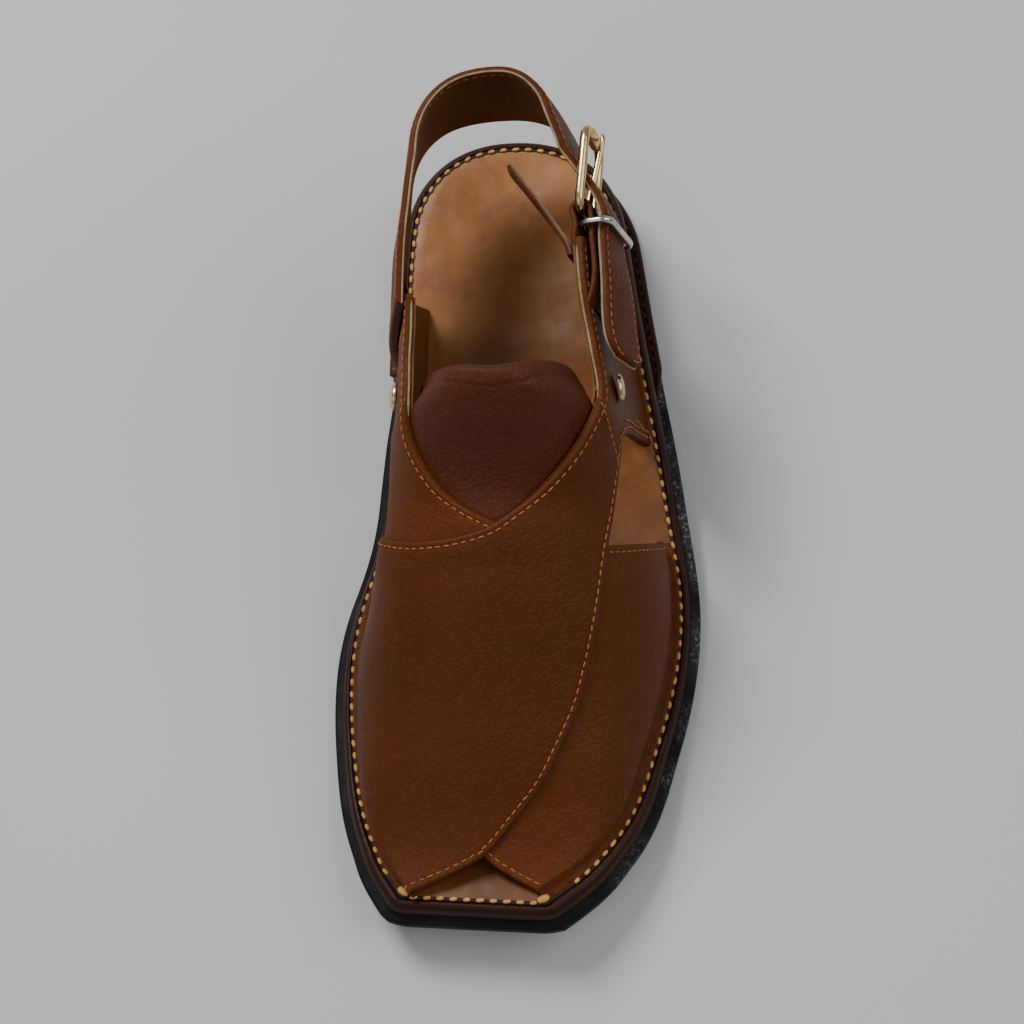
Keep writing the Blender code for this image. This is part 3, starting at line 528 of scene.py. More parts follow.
def leather(name, dark, mid, light, grain=760.0, relief=0.00016, rough=(0.42, 0.60), soft=0.0):
    """Pebbled leather: slow colour drift, fine cells with darker valleys, and pores."""
    n = Nodes(name)
    drift = n.noise(11.0, 4.0, 0.5)
    colour = n.ramp(drift, (0.25, dark), (0.52, mid), (0.80, light))
    pebble = n.cells(grain, smoothness=0.35)
    pebble = n.range(pebble, 0.05, 0.62, 1.0, 0.0)
    pores = n.noise(grain * 2.4, 2.0, 0.6)
    valley = n.range(pebble, 0.0, 0.45, 0.80, 1.0)
    shade = n.add("ShaderNodeCombineColor", {"Red": valley, "Green": valley, "Blue": valley}).outputs[0]
    colour = n.mix(0.75, colour, shade, "MULTIPLY")
    wrinkle = n.noise(95.0, 3.0, 0.6, 0.6)
    low = n.bump(wrinkle, 0.0004, 0.08 + soft)
    middle = n.bump(pebble, relief, 0.85, low)
    fine = n.bump(pores, 0.00006, 0.5, middle)
    polish = n.range(n.noise(38.0, 3.0, 0.6), 0.32, 0.68, rough[0], rough[1])
    return n.finish(colour, polish, fine, Specular_IOR_Level=0.16)


def plain(name, dark, light, scale, rough, relief=0.0001, bump_scale=900.0, **constants):
    n = Nodes(name)
    colour = n.ramp(n.noise(scale, 4.0, 0.6), (0.32, dark), (0.70, light))
    normal = n.bump(n.noise(bump_scale, 3.0, 0.6), relief, 0.6)
    return n.finish(
        colour, n.range(n.noise(scale * 3, 3.0), 0.3, 0.7, rough[0], rough[1]), normal, **constants
    )


def insole_leather():
    """Tan leather, worn darker and smoother in the middle of the heel and along the middle of the foot, and
    darker at the front as painted shade under the bands.
    """
    n = Nodes("insole_tan")
    base = n.ramp(
        n.noise(24.0, 5.0, 0.6), (0.28, (0.250, 0.088, 0.020)), (0.50, (0.318, 0.120, 0.031)),
        (0.75, (0.378, 0.152, 0.043))
    )
    stains = n.ramp(n.noise(55.0, 4.0, 0.7, 0.8), (0.40, (0.62, 0.56, 0.50)), (0.60, (1.0, 1.0, 1.0)))
    colour = n.mix(0.55, base, stains, "MULTIPLY")
    parts = n.add("ShaderNodeSeparateXYZ", {"Vector": n.place})
    x = n.math("DIVIDE", n.math("ADD", parts.outputs["X"], 0.002), 0.034)
    y = n.math("DIVIDE", n.math("ADD", parts.outputs["Y"], 0.034), 0.064)
    away = n.math("SQRT", n.math("ADD", n.math("MULTIPLY", x, x), n.math("MULTIPLY", y, y)), 0.0)
    away = n.math("ADD", away, n.range(n.noise(34.0, 3.0, 0.6), 0.3, 0.7, -0.14, 0.14))
    worn = n.range(away, 0.50, 1.08, 0.36, 0.0)
    colour = n.mix(worn, colour, (0.215, 0.086, 0.025))
    # Painted shade: the insole darkens towards the toe, where the bands cover it.
    front = n.range(parts.outputs["Y"], -0.060, -0.105, 0.0, 1.0)
    colour = n.mix(front, colour, (0.47, 0.41, 0.33), "MULTIPLY")
    dimples = n.range(n.cells(150.0, smoothness=0.6), 0.1, 0.75, 0.0, 1.0)
    low = n.bump(dimples, 0.0004, 0.35)
    fine = n.bump(n.noise(620.0, 3.0, 0.6), 0.00008, 0.5, low)
    rough = n.range(n.noise(60.0, 4.0, 0.6), 0.3, 0.7, 0.34, 0.52)
    return n.finish(colour, rough, fine, Specular_IOR_Level=0.32)


def rubber():
    """Black rubber: ribs underneath, fine grain, and grey specks along the outer edge, partly dust and partly
    painted sheen.
    """
    n = Nodes("sole_rubber")
    colour = n.ramp(
        n.noise(40.0, 4.0, 0.6), (0.35, (0.0030, 0.0030, 0.0034)), (0.7, (0.0075, 0.0075, 0.0082))
    )
    parts = n.add("ShaderNodeSeparateXYZ", {"Vector": n.place})
    specks = n.range(n.noise(900.0, 2.0, 0.7), 0.52, 0.64, 0.10, 1.0)
    patches = n.range(n.noise(60.0, 3.0, 0.6), 0.36, 0.58, 0.0, 0.80)
    # Grey specks on the outer side only: partly dust, partly a painted sheen.
    outer = n.range(parts.outputs["X"], 0.030, 0.042, 0.0, 1.0)
    dust_and_sheen = n.math("MULTIPLY", n.math("MULTIPLY", specks, patches), outer)
    colour = n.mix(dust_and_sheen, colour, (0.20, 0.22, 0.24))
    ribs = n.add(
        "ShaderNodeTexWave", {"Vector": n.place, "Scale": 62.0, "Distortion": 3.2, "Detail": 0.0},
        bands_direction="Y"
    )
    under = n.range(parts.outputs["Z"], 0.0016, 0.0004, 0.0, 1.0)
    tread = n.math("MULTIPLY", n.range(ribs.outputs["Fac"], 0.45, 0.60, 0.0, 1.0), under)
    normal = n.bump(tread, 0.0009, 0.9)
    normal = n.bump(n.noise(800.0, 3.0), 0.00005, 0.5, normal)
    return n.finish(
        colour, n.range(n.noise(70.0, 4.0), 0.3, 0.7, 0.52, 0.72), normal, Specular_IOR_Level=0.18
    )


def metal(name, dark, light, rough):
    n = Nodes(name)
    colour = n.ramp(n.noise(130.0, 4.0, 0.6), (0.30, dark), (0.65, light))
    normal = n.bump(n.noise(300.0, 2.0), 0.00004, 0.4)
    return n.finish(colour, n.range(n.noise(220.0, 4.0), 0.3, 0.7, rough[0], rough[1]), normal, Metallic=1.0)


def thread(name, dark, light):
    """Twisted thread: fine slanted ridges."""
    n = Nodes(name)
    colour = n.ramp(n.noise(340.0, 3.0, 0.7), (0.32, dark), (0.68, light))
    twist = n.add(
        "ShaderNodeTexWave", {"Vector": n.place, "Scale": 420.0, "Distortion": 1.0},
        bands_direction="DIAGONAL"
    )
    normal = n.bump(twist.outputs["Fac"], 0.00012, 0.6)
    return n.finish(colour, 0.62, normal)


VAMP = leather(
    "vamp_leather", (0.092, 0.0212, 0.0020), (0.104, 0.0248, 0.0025), (0.118, 0.0290, 0.0032),
    rough=(0.48, 0.64)
)
OVER = leather(
    "over_leather", (0.080, 0.0184, 0.0018), (0.092, 0.0216, 0.0023), (0.104, 0.0254, 0.0030),
    rough=(0.48, 0.64)
)
STRAP_LEATHER = leather(
    "strap_leather", (0.076, 0.0172, 0.0020), (0.090, 0.0212, 0.0027), (0.106, 0.0262, 0.0036),
    rough=(0.46, 0.62)
)
RAND_LEATHER = leather(
    "rand_leather", (0.022, 0.0058, 0.0018), (0.031, 0.0082, 0.0027), (0.044, 0.0120, 0.0042), 900.0, 0.00008,
    (0.36, 0.52)
)
TONGUE_LEATHER = leather(
    "tongue_leather", (0.074, 0.0168, 0.0064), (0.090, 0.0212, 0.0082), (0.108, 0.0266, 0.0104), 680.0,
    0.00018, (0.48, 0.66), 0.05
)
LINING = leather(
    "lining_leather", (0.150, 0.055, 0.014), (0.200, 0.078, 0.020), (0.255, 0.106, 0.030), 1100.0, 0.00006,
    (0.45, 0.62)
)
STRAP_LINING = leather(
    "strap_lining", (0.074, 0.022, 0.0040), (0.098, 0.031, 0.0060), (0.130, 0.043, 0.0095), 1000.0, 0.00007,
    (0.42, 0.60)
)
CREAM = plain("cut_edge", (0.20, 0.135, 0.060), (0.34, 0.250, 0.130), 260.0, (0.60, 0.80))
CHARCOAL = plain("tongue_lining", (0.010, 0.0105, 0.011), (0.024, 0.024, 0.025), 120.0, (0.75, 0.92))
SUEDE = plain(
    "guard_suede", (0.085, 0.052, 0.018), (0.165, 0.110, 0.045), 90.0, (0.82, 0.96), 0.0002, 1400.0,
    Sheen_Weight=0.25
)
GOLD_THREAD = thread("welt_thread", (0.420, 0.200, 0.040), (0.660, 0.370, 0.100))
RUST_THREAD = thread("seam_thread", (0.260, 0.070, 0.008), (0.420, 0.125, 0.016))
# A dark copy of the gold thread for the outer lip's stitches: painted shade.
SHADED_LIP_THREAD = thread("shaded_lip_thread", (0.060, 0.022, 0.006), (0.105, 0.042, 0.012))
# A near-black strip for the stitch groove: painted shade between the stitches.
GROOVE_SHADE = plain("painted_groove_shade", (0.010, 0.0045, 0.0030), (0.020, 0.0080, 0.0050), 200.0, (0.7, 0.9))
BRASS = metal("buckle_brass", (0.52, 0.36, 0.14), (0.80, 0.62, 0.32), (0.16, 0.34))
STEEL = metal("keeper_steel", (0.42, 0.42, 0.41), (0.68, 0.68, 0.66), (0.14, 0.30))
INSOLE = insole_leather()
RUBBER = rubber()


# Mesh building


def new_piece(name, points, faces, materials, nodes=(), face_materials=None, smooth_angle=50.0):
    mesh = bpy.data.meshes.new(name)
    mesh.from_pydata([tuple(p) for p in np.asarray(points).reshape(-1, 3)], [], faces)
    for material in materials:
        mesh.materials.append(material)
    if face_materials is not None:
        mesh.polygons.foreach_set("material_index", np.asarray(face_materials, np.int32))
    mesh.validate()
    mesh.shade_smooth()
    mesh.set_sharp_from_angle(angle=math.radians(smooth_angle))
    thing = bpy.data.objects.new(name, mesh)
    bpy.context.scene.collection.objects.link(thing)
    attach(thing, "root")
    if nodes:
        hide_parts(*nodes)
    return thing


def grid_faces(rows, columns, start=0, flip=False, wrap=False):
    """Four-sided faces of a grid of points, closed across if wrap is set."""
    faces = []
    for i in range(rows - 1):
        for j in range(columns if wrap else columns - 1):
            k = (j + 1) % columns
            face = (
                start + i * columns + j, start + i * columns + k, start + (i + 1) * columns + k,
                start + (i + 1) * columns + j
            )
            faces.append(face[::-1] if flip else face)
    return faces


def shell(name, outer, inner, materials, nodes=(), smooth_angle=50.0):
    """A closed sheet between an outer and an inner grid. Materials: outside, inside, edge."""
    rows, columns = outer.shape[:2]
    count = rows * columns
    points = np.concatenate([outer.reshape(-1, 3), inner.reshape(-1, 3)])
    faces = grid_faces(rows, columns)
    i, j = rows // 2, columns // 2
    normal = np.cross(outer[i, j + 1] - outer[i, j], outer[i + 1, j] - outer[i, j])
    flip = normal.dot(outer[i, j] - inner[i, j]) < 0
    if flip:
        faces = [face[::-1] for face in faces]
    kinds = [0] * len(faces)
    back = [tuple(count + v for v in face[::-1]) for face in faces]
    faces = faces + back
    kinds += [1] * len(back)
    loop = list(range(columns)) + [r * columns + columns - 1 for r in range(1, rows)]
    loop += (
        [(rows - 1) * columns + c for c in range(columns - 2, -1, -1)]
        + [r * columns for r in range(rows - 2, 0, -1)]
    )
    for a, b in zip(loop, loop[1:] + loop[:1]):
        face = (b, a, count + a, count + b)
        faces.append(face[::-1] if flip else face)
        kinds.append(min(2, len(materials) - 1))
    return new_piece(name, points, faces, materials, nodes, kinds, smooth_angle)


PROBE = 0.0005


def resample(path, pitch, start=0.0):
    """Points, directions and arc places at equal steps along a polyline, near the wanted pitch."""
    path = np.asarray(path, float)
    gaps = np.linalg.norm(np.diff(path, axis=0), axis=1)
    keep = np.concatenate([[True], gaps > 1e-7])
    path = path[keep]
    arc = arc_of(path)
    count = max(2, int(round((arc[-1] - 2 * start) / pitch)))
    at = np.linspace(start, arc[-1] - start, count + 1)
    direction = sample(at + PROBE, arc, path) - sample(at - PROBE, arc, path)
    return sample(at, arc, path), unit(direction), at


def bead_template(rings, around):
    """A blunt bead of length 2 along x: points and faces."""
    points, faces = [(-1.0, 0.0, 0.0)], []
    for i in range(1, rings):
        angle = math.pi * i / rings
        for j in range(around):
            turn = 2 * math.pi * j / around
            reach = math.sin(angle) ** 0.75
            points.append((-math.cos(angle), reach * math.cos(turn), reach * math.sin(turn)))
    points.append((1.0, 0.0, 0.0))
    for j in range(around):
        k = (j + 1) % around
        faces.append((0, 1 + k, 1 + j))
        for i in range(rings - 2):
            a = 1 + i * around
            faces.append((a + j, a + k, a + around + k, a + around + j))
        a = 1 + (rings - 2) * around
        faces.append((a + j, a + k, len(points) - 1))
    return np.array(points), faces


def stitches(
    name, paths, pitch, length, width, height, material, rings=6, around=6, lift=0.0, yaw=0.0, seed=3
):
    """Rows of stitches as small beads. Each path is a list of points and the outward normals there."""
    random = np.random.default_rng(seed)
    shape, shape_faces = bead_template(rings, around)
    points, faces = [], []
    for path, normals in paths:
        path, normals = np.asarray(path, float), np.asarray(normals, float)
        places, directions, at = resample(path, pitch, pitch / 2)
        ups = sample(at, arc_of(path), normals)
        for place, ahead, up in zip(places, directions, ups):
            up = up - ahead * up.dot(ahead)
            up = up / np.linalg.norm(up)
            side = np.cross(up, ahead)
            angle = yaw + random.normal(0.0, 0.05)
            turned = ahead * math.cos(angle) + side * math.sin(angle)
            side = np.cross(up, turned)
            size = 1.0 + random.normal(0.0, 0.05)
            frame_of = np.stack([turned * length / 2 * size, side * width / 2, up * height / 2])
            start = len(points) * len(shape)
            points.append(shape @ frame_of + place + up * lift)
            faces += [tuple(start + v for v in face) for face in shape_faces]
    return new_piece(name, np.concatenate(points), faces, [material], (), None, 80.0)


def seam_stitches(name, paths, length=0.0023, width=0.0007, height=0.0006):
    stitches(name, paths, 0.0030, length, width, height, RUST_THREAD, 5, 5, 0.0)


def cut_edge_tube(name, path, radius):
    """The pale cut edge of a lining."""
    tube(name, path, radius, CREAM, (), False, 8)


def tube(name, path, radius, material, nodes=(), closed=False, sides=10, flat=1.0, up=None):
    """A round or flattened rod along a path. radius is one number or one for each point."""
    path = np.asarray(path, float)
    count = len(path)
    radius = np.broadcast_to(np.asarray(radius, float), (count,))
    if closed:
        tangent = np.roll(path, -1, 0) - np.roll(path, 1, 0)
    else:
        tangent = np.gradient(path, axis=0)
    tangent = unit(tangent)
    guide = np.asarray(up if up is not None else (0.0, 0.0, 1.0), float)
    guide = np.broadcast_to(guide, path.shape)
    rings = []
    for k in range(count):
        side = np.cross(tangent[k], guide[k])
        if np.linalg.norm(side) < 0.1:
            side = np.cross(tangent[k], (1.0, 0.0, 0.0))
        side /= np.linalg.norm(side)
        rise = np.cross(side, tangent[k])
        turn = 2 * math.pi * np.arange(sides) / sides
        ring = np.outer(np.cos(turn), side) + np.outer(np.sin(turn), rise) * flat
        rings.append(path[k] + ring * radius[k])
    points = np.array(rings)
    if closed:
        points = np.concatenate([points, points[:1]])
        faces = grid_faces(count, sides, wrap=True)
        last = (count - 1) * sides
        faces += [(last + j, last + (j + 1) % sides, (j + 1) % sides, j) for j in range(sides)]
        points = points[:-1]
    else:
        faces = grid_faces(count, sides, wrap=True)
        faces += [tuple(range(sides))[::-1], tuple((count - 1) * sides + j for j in range(sides))]
    return new_piece(name, points.reshape(-1, 3), faces, [material], nodes, None, 60.0)


# The bands of the upper


# Rows of stitches, in from a band's edge and in from the strap's edge
SEAM = 0.0022
SECOND_SEAM = 0.0045
STRAP_SECOND_SEAM = 0.0040
CORNER_BLEND = 0.016


def band_edge(rows):
    """A function from travel to the edge's along and around, with its cut-out corners rounded."""
    pieces = []
    start = 0
    for k in range(1, len(rows) + 1):
        if k == len(rows) or rows[k][0] == rows[k - 1][0]:
            piece = np.array(rows[start:k], float)
            pieces.append((piece[-1, 0], Curve(piece[:, 0], piece[:, 1]), Curve(piece[:, 0], piece[:, 2])))
            start = k

    def exact(travel):
        for end, along, around in pieces:
            if travel <= end + 1e-9:
                return float(along(travel)), float(around(travel))
        return float(along(travel)), float(around(travel))

    corners = [piece[0] for piece in pieces[:-1]]

    def place(travel):
        for corner in corners:
            reach = CORNER_BLEND - abs(travel - corner)
            if reach > 0 and corner < 0.75:
                near = [exact(travel + reach * k / 4) for k in range(-4, 5)]
                return tuple(sum(v[i] for v in near) / 9 for i in (0, 1))
        return exact(travel)

    return place


TUCK = 0.0010
TUCK_HEIGHT = 0.017
INNER_DRAW = 0.0028
EDGE_STEPS = (0.0, 0.00012, 0.0004, 0.0009, 0.0015, 0.0020, 0.0024, 0.0028, 0.0034, 0.0044)


def across_shares(width, middle=30):
    """Columns across a strip of this width, close together at both edges."""
    near = np.array(EDGE_STEPS) / width
    near = np.minimum(near, 0.45 * np.array(EDGE_STEPS) / EDGE_STEPS[-1])
    inner = np.linspace(near[-1], 1 - near[-1], middle)[1:-1]
    return np.concatenate([near, inner, 1 - near[::-1]])


def edge_drop(distance, radius=0.0011):
    """How far a rounded edge falls at this distance from it."""
    inside = np.clip(radius - distance, 0.0, radius)
    return radius - np.sqrt(np.maximum(radius**2 - inside**2, 0.0))


def edge_line(place, start, end, count=260):
    """Points on the bare last along one edge of a band."""
    along, around = np.array([place(t) for t in np.linspace(start, end, count)]).T
    return last_surface(along, around)


def distance_to(line, points):
    """How far each point is from the nearest stretch of a polyline."""
    flat = points.reshape(-1, 3)
    best = np.full(len(flat), 1e9)
    for start, step in zip(line[:-1], np.diff(line, axis=0)):
        size = step.dot(step)
        if size > 1e-14:
            t = np.clip((flat - start) @ step / size, 0.0, 1.0)
            best = np.minimum(best, np.linalg.norm(flat - start - t[:, None] * step, axis=1))
    return best.reshape(points.shape[:-1])


def inner_draw(along):
    """How far the inner wall is drawn in, most at the waist."""
    return (
        INNER_DRAW * (ease(along, 0.10, 0.24) + 1.4 * ease(along, 0.27, 0.40))
        * (1 - ease(along, 0.49, 0.62))
    )


def tucked(along, around, amount):
    """The last's surface drawn in towards the rim, where a band turns out into its foot, and its normals."""
    base, normal = last_surface(along, around), last_normal(along, around)
    rise = np.maximum(0.0, base[..., 2] - foot_bed(base[..., 1]))
    height = np.minimum(TUCK_HEIGHT, 0.6 * ridge_at(along))
    side = level_side(normal)
    tuck = amount * np.maximum(0.0, 1.0 - rise / height) ** 2 * ease(np.abs(around), 0.45, 0.85)
    draw = inner_draw(along) * (1 - ease(rise, 0.018, 0.055)) * ease(-np.asarray(around), 0.25, 0.50)
    tuck = np.maximum(tuck, draw)
    return base - side * tuck[..., None], normal


def seam_dent(distance, place, depth=0.00022, spread=0.0005):
    """The shallow groove in which a row of stitches lies."""
    return depth * np.exp(-(((distance - place) / spread) ** 2))


class Band:
    """One crossed band: its points, by travel along it and distance from its two edges."""

    def __init__(self, front_rows, back_rows, raised, wall, travels, seams):
        self.front, self.back = band_edge(front_rows), band_edge(back_rows)
        self.travels = travels
        near = np.array([self.front(t) for t in travels])
        far = np.array([self.back(t) for t in travels])
        probe = np.linspace(0, 1, 25)
        along = near[:, :1] + (far[:, :1] - near[:, :1]) * probe
        around = near[:, 1:] + (far[:, 1:] - near[:, 1:]) * probe
        line = last_surface(along, around)
        width = np.linalg.norm(np.diff(line, axis=1), axis=2).sum(1)
        self.raised = np.broadcast_to(np.asarray(raised, float), (len(travels),))
        shares = np.array([across_shares(w) for w in width])
        self.along = near[:, :1] + (far[:, :1] - near[:, :1]) * shares
        self.around = near[:, 1:] + (far[:, 1:] - near[:, 1:]) * shares
        self.wall = wall
        bare = last_surface(self.along, self.around)
        self.base, self.normal = tucked(self.along, self.around, self.tuck(travels)[:, None])
        from_front = distance_to(edge_line(self.front, travels[0], travels[-1], 420), bare)
        from_back = distance_to(edge_line(self.back, travels[0], travels[-1], 420), bare)
        lift = self.raised[:, None] + wall
        lift = lift - edge_drop(from_front) - edge_drop(from_back)
        for distance, rows in seams:
            mask = np.where(rows(self.travels), 1.0, 0.0)[:, None]
            where = from_front if distance > 0 else from_back
            lift = lift - seam_dent(where, abs(distance)) * mask
        self.lift = lift

    def tuck(self, travels):
        low = np.interp(travels, self.travels, self.raised) + self.wall + TUCK
        return low * (1.0 - 0.25 * ease(travels, 0.56, 0.64) - 0.35 * ease(travels, 0.66, 0.74))

    def grids(self, relief=0.0):
        outer = self.base + self.normal * (self.lift + relief)[..., None]
        inner = self.base + self.normal * self.raised[:, None, None]
        return outer, inner

    def line(self, distance, start, end, count=160):
        """A path on the outer face, this far in from the front edge, or from the back edge if negative."""
        travels = np.linspace(start, end, count)
        place, other = (self.front, self.back) if distance > 0 else (self.back, self.front)
        along, around = np.array([place(t) for t in travels]).T
        far_along, far_around = np.array([other(t) for t in travels]).T
        bare, normal = last_surface(along, around), last_normal(along, around)
        ahead = np.gradient(bare, axis=0)
        inward = np.cross(normal, ahead)
        inward = unit(inward)
        towards = last_surface(along + 0.2 * (far_along - along), around + 0.2 * (far_around - around)) - bare
        inward = inward * np.sign((inward * towards).sum(1, keepdims=True)) * abs(distance)
        step = 0.002
        by_along = (last_surface(along + step, around) - last_surface(along - step, around)) / (2 * step)
        by_around = (last_surface(along, around + step) - last_surface(along, around - step)) / (2 * step)
        for k in range(count):
            move = np.linalg.lstsq(np.stack([by_along[k], by_around[k]], 1), inward[k], rcond=None)[0]
            along[k] += move[0]
            around[k] += move[1]
        return self.on(along, around, travels)

    def on(self, along, around, travels):
        """Points on the outer face and the normals there."""
        base, normal = tucked(along, around, self.tuck(travels))
        lift = np.interp(travels, self.travels, self.raised) + self.wall
        return base + normal * lift[:, None], normal


def crease(along, around, line, depth, spread):
    """A soft trough along a given line of along, around points, with a low ridge beside it."""
    line = np.array(line, float)
    ball = BALL_WIDTH * 0.75
    px, py = along * LAST_LENGTH, around * ball
    best = np.full(px.shape, 1e9)
    signed = np.zeros(px.shape)
    fade = np.zeros(px.shape)
    total = len(line) - 1
    for k in range(total):
        a = np.array([line[k, 0] * LAST_LENGTH, line[k, 1] * ball])
        b = np.array([line[k + 1, 0] * LAST_LENGTH, line[k + 1, 1] * ball])
        d = b - a
        t = np.clip(((px - a[0]) * d[0] + (py - a[1]) * d[1]) / d.dot(d), 0, 1)
        qx, qy = px - a[0] - t * d[0], py - a[1] - t * d[1]
        away = np.hypot(qx, qy)
        cross = (d[0] * qy - d[1] * qx) / np.hypot(*d)
        nearer = away < best
        best = np.where(nearer, away, best)
        signed = np.where(nearer, cross, signed)
        fade = np.where(nearer, (k + t) / total, fade)
    strength = np.sin(np.pi * np.clip(fade, 0.02, 0.98)) ** 0.6
    trough = -depth * np.exp(-((best / spread) ** 2)) * strength
    ridge = (
        0.6 * depth * np.exp(-(((signed - 1.6 * spread) / spread) ** 2))
        * np.exp(-((best / (3.2 * spread)) ** 2)) * strength
    )
    return trough + ridge


VAMP_CREASES = (
    # line of along, around; depth; spread
    (((0.060, -0.62), (0.120, -0.74), (0.200, -0.82), (0.300, -0.86), (0.400, -0.85)), 0.00060, 0.0015),
    (((0.030, -0.30), (0.060, -0.52), (0.110, -0.68)), 0.00050, 0.0013),
    (((0.150, 0.10), (0.165, -0.10), (0.160, -0.32)), 0.00020, 0.0030),
    (((0.360, 0.25), (0.370, 0.05), (0.365, -0.20), (0.352, -0.42)), 0.00028, 0.0036),
    (((0.300, 0.32), (0.312, 0.12), (0.306, -0.12)), 0.00018, 0.0034),
    (((0.470, 0.66), (0.520, 0.74), (0.575, 0.80)), 0.00028, 0.0026),
    (((0.560, 0.66), (0.610, 0.70), (0.660, 0.74)), 0.00022, 0.0026),
)
LOWER_CREASES = (
    (((0.070, 0.70), (0.150, 0.80), (0.240, 0.86), (0.340, 0.88), (0.430, 0.86)), 0.00060, 0.0015),
    (((0.030, 0.34), (0.070, 0.52), (0.120, 0.66)), 0.00048, 0.0013),
    (((0.200, 0.62), (0.230, 0.72), (0.290, 0.78)), 0.00022, 0.0026),
    (((0.520, -0.72), (0.560, -0.66), (0.600, -0.64)), 0.00026, 0.0026),
    (((0.600, -0.86), (0.640, -0.78), (0.680, -0.72)), 0.00022, 0.0024),
)


# The seams that come down from the collar to the cut-outs: around, along
OUTER_SEAM = ((0.455, 0.566), (0.475, 0.557), (0.495, 0.545), (0.515, 0.530), (0.530, 0.515), (0.540, 0.500))
INNER_SEAM = ((-0.79, 0.526), (-0.74, 0.529), (-0.68, 0.536), (-0.61, 0.544), (-0.53, 0.552), (-0.47, 0.560))


def band_travels(start_fine, end_fine, count=150):
    middle = np.linspace(0.06, 0.95, count)
    first = np.linspace(0.0, 0.06, start_fine, endpoint=False)
    final = np.linspace(0.95, 1.0, end_fine + 1)[1:]
    return np.unique(
        np.concatenate([first, middle, final, np.linspace(0.655, 0.695, 21), [0.8, 0.85]]).round(6)
    )


def make_bands():
    travels = band_travels(10, 8)
    everywhere = lambda t: t > -1
    top_raise = RAISE + 0.0002 - (RAISE + 0.0002) * ease(travels, 0.62, 0.80)
    top_seams = ((SEAM, everywhere), (SECOND_SEAM, lambda t: (t > 0.675) & (t < 0.80)), (-SEAM, everywhere))
    top = Band(TOP_BAND_FRONT, TOP_BAND_BACK, top_raise, TOP_WALL, travels, top_seams)
    low_seams = ((SEAM, everywhere), (-SEAM, everywhere))
    low = Band(LOWER_BAND_FRONT, LOWER_BAND_BACK, 0.0, WALL, travels, low_seams)
    relief = sum(crease(top.along, top.around, *row) for row in VAMP_CREASES)
    outer, inner = top.grids(relief)
    shell("top_band", outer, inner, [OVER, LINING, OVER], ("upper",))
    relief = sum(crease(low.along, low.around, *row) for row in LOWER_CREASES)
    outer, inner = low.grids(relief)
    shell("lower_band", outer, inner, [VAMP, LINING, VAMP])
    return top, low


# Sole


def side_stations(front_count=110, back_count=40, heel_count=46):
    front = WEDGE_START * (np.arange(front_count) / front_count) ** 1.15
    back = np.linspace(WEDGE_START, HEEL_START, back_count, endpoint=False)
    turns = np.linspace(0, math.pi / 2, heel_count)
    heel = HEEL_START + (1.0 - HEEL_START) * np.sin(turns) ** (2 / HEEL_POWER)
    return np.concatenate([front, back, heel])


STATIONS = side_stations()
CORNER_STEPS = 6


def bottom_edge(along, side):
    reach = half_width(along) * heel_share(along)
    skew = TOE_SKEW * 0.5 * -side * (1.0 - ease(along, 0.0, 0.15))
    return np.stack([centre_line(along) + side * reach, y_of(along) + skew], -1)


def edge_with_normals(side):
    points = bottom_edge(STATIONS, side)
    before = np.concatenate([points[:1], points[:-1]])
    after = np.concatenate([points[1:], points[-1:]])
    tangent = unit(after - before)
    reach = 1.0 + (CORNER_REACH - 1.0) * (1.0 - ease(STATIONS, 0.0, CORNER_END))
    normals = np.stack([tangent[:, 1], -tangent[:, 0]], -1) * side * reach[:, None]
    normals[-1] = (0.0, 1.0)
    toe = bottom_edge(0.0, 1.0) - bottom_edge(0.0, -1.0)
    toe_normal = np.array([toe[1], -toe[0]]) / np.linalg.norm(toe)
    corner = toe / np.linalg.norm(toe) * side * math.sqrt(CORNER_REACH**2 - 1.0)
    fan = [toe_normal + corner * k / CORNER_STEPS for k in range(CORNER_STEPS)]
    points = np.concatenate([np.repeat(points[:1], CORNER_STEPS, 0), points])
    normals = np.concatenate([fan, normals])
    length = np.linalg.norm(normals, axis=1, keepdims=True)
    normals = normals / length * (1.0 + (length - 1.0) * CORNER_KEEP)
    return points, normals


EDGES = {side: edge_with_normals(side) for side in (1.0, -1.0)}


def waist(side, y):
    """The sole's edge is narrower at the inner waist."""
    return 1.0 - 0.28 * np.exp(-(((along_of(y) - 0.43) / 0.09) ** 2)) * (side < 0)


def ring_side(side, margin, level):
    points, normals = EDGES[side]
    y = points[:, 1]
    reach = np.broadcast_to(margin(y) if callable(margin) else margin, y.shape) * waist(side, y)
    place = points + normals * reach[:, None]
    return np.concatenate([place, np.broadcast_to(level(y), y.shape)[:, None]], 1)


def ring(margin, level):
    """A closed line round the sole: outer side from toe to heel, then inner side back to the toe."""
    outer, inner = ring_side(1.0, margin, level), ring_side(-1.0, margin, level)
    return np.concatenate([outer, inner[-2::-1]])


def tread_thickness(y):
    return OUTSOLE_FOREFOOT + (OUTSOLE_HEEL - OUTSOLE_FOREFOOT) * ease(along_of(y), 0.60, 0.69)


def tread_top(y):
    return underside(y) + tread_thickness(y)


def rim_top(y):
    return foot_bed(y) - 0.0006


def rand_foot(y):
    """Where the wrapped edge begins, just over the rubber."""
    return tread_top(y) + 0.0003


def rand_margin(y):
    return RAND_FOREFOOT + (RAND_HEEL - RAND_FOREFOOT) * ease(along_of(y), 0.50, 0.80)


def lip_margin(y):
    return rand_margin(y) + (LIP_MARGIN - rand_margin(y)) * ease(along_of(y), WEDGE_START, 0.72)


STITCH_TABLE = (
    # along the foot, margin of the thick stitches beyond the last
    (0.00, 0.0025),
    (0.06, 0.0023),
    (0.13, 0.0029),
    (0.25, 0.0036),
    (0.40, 0.0038),
    (0.55, 0.0034),
    (0.75, 0.0032),
    (0.90, 0.0027),
    (1.00, 0.0023),
)
stitch_curve = table(STITCH_TABLE, 1.0)


def stitch_margin(y):
    return stitch_curve(np.clip(along_of(y), 0.0, 1.0))


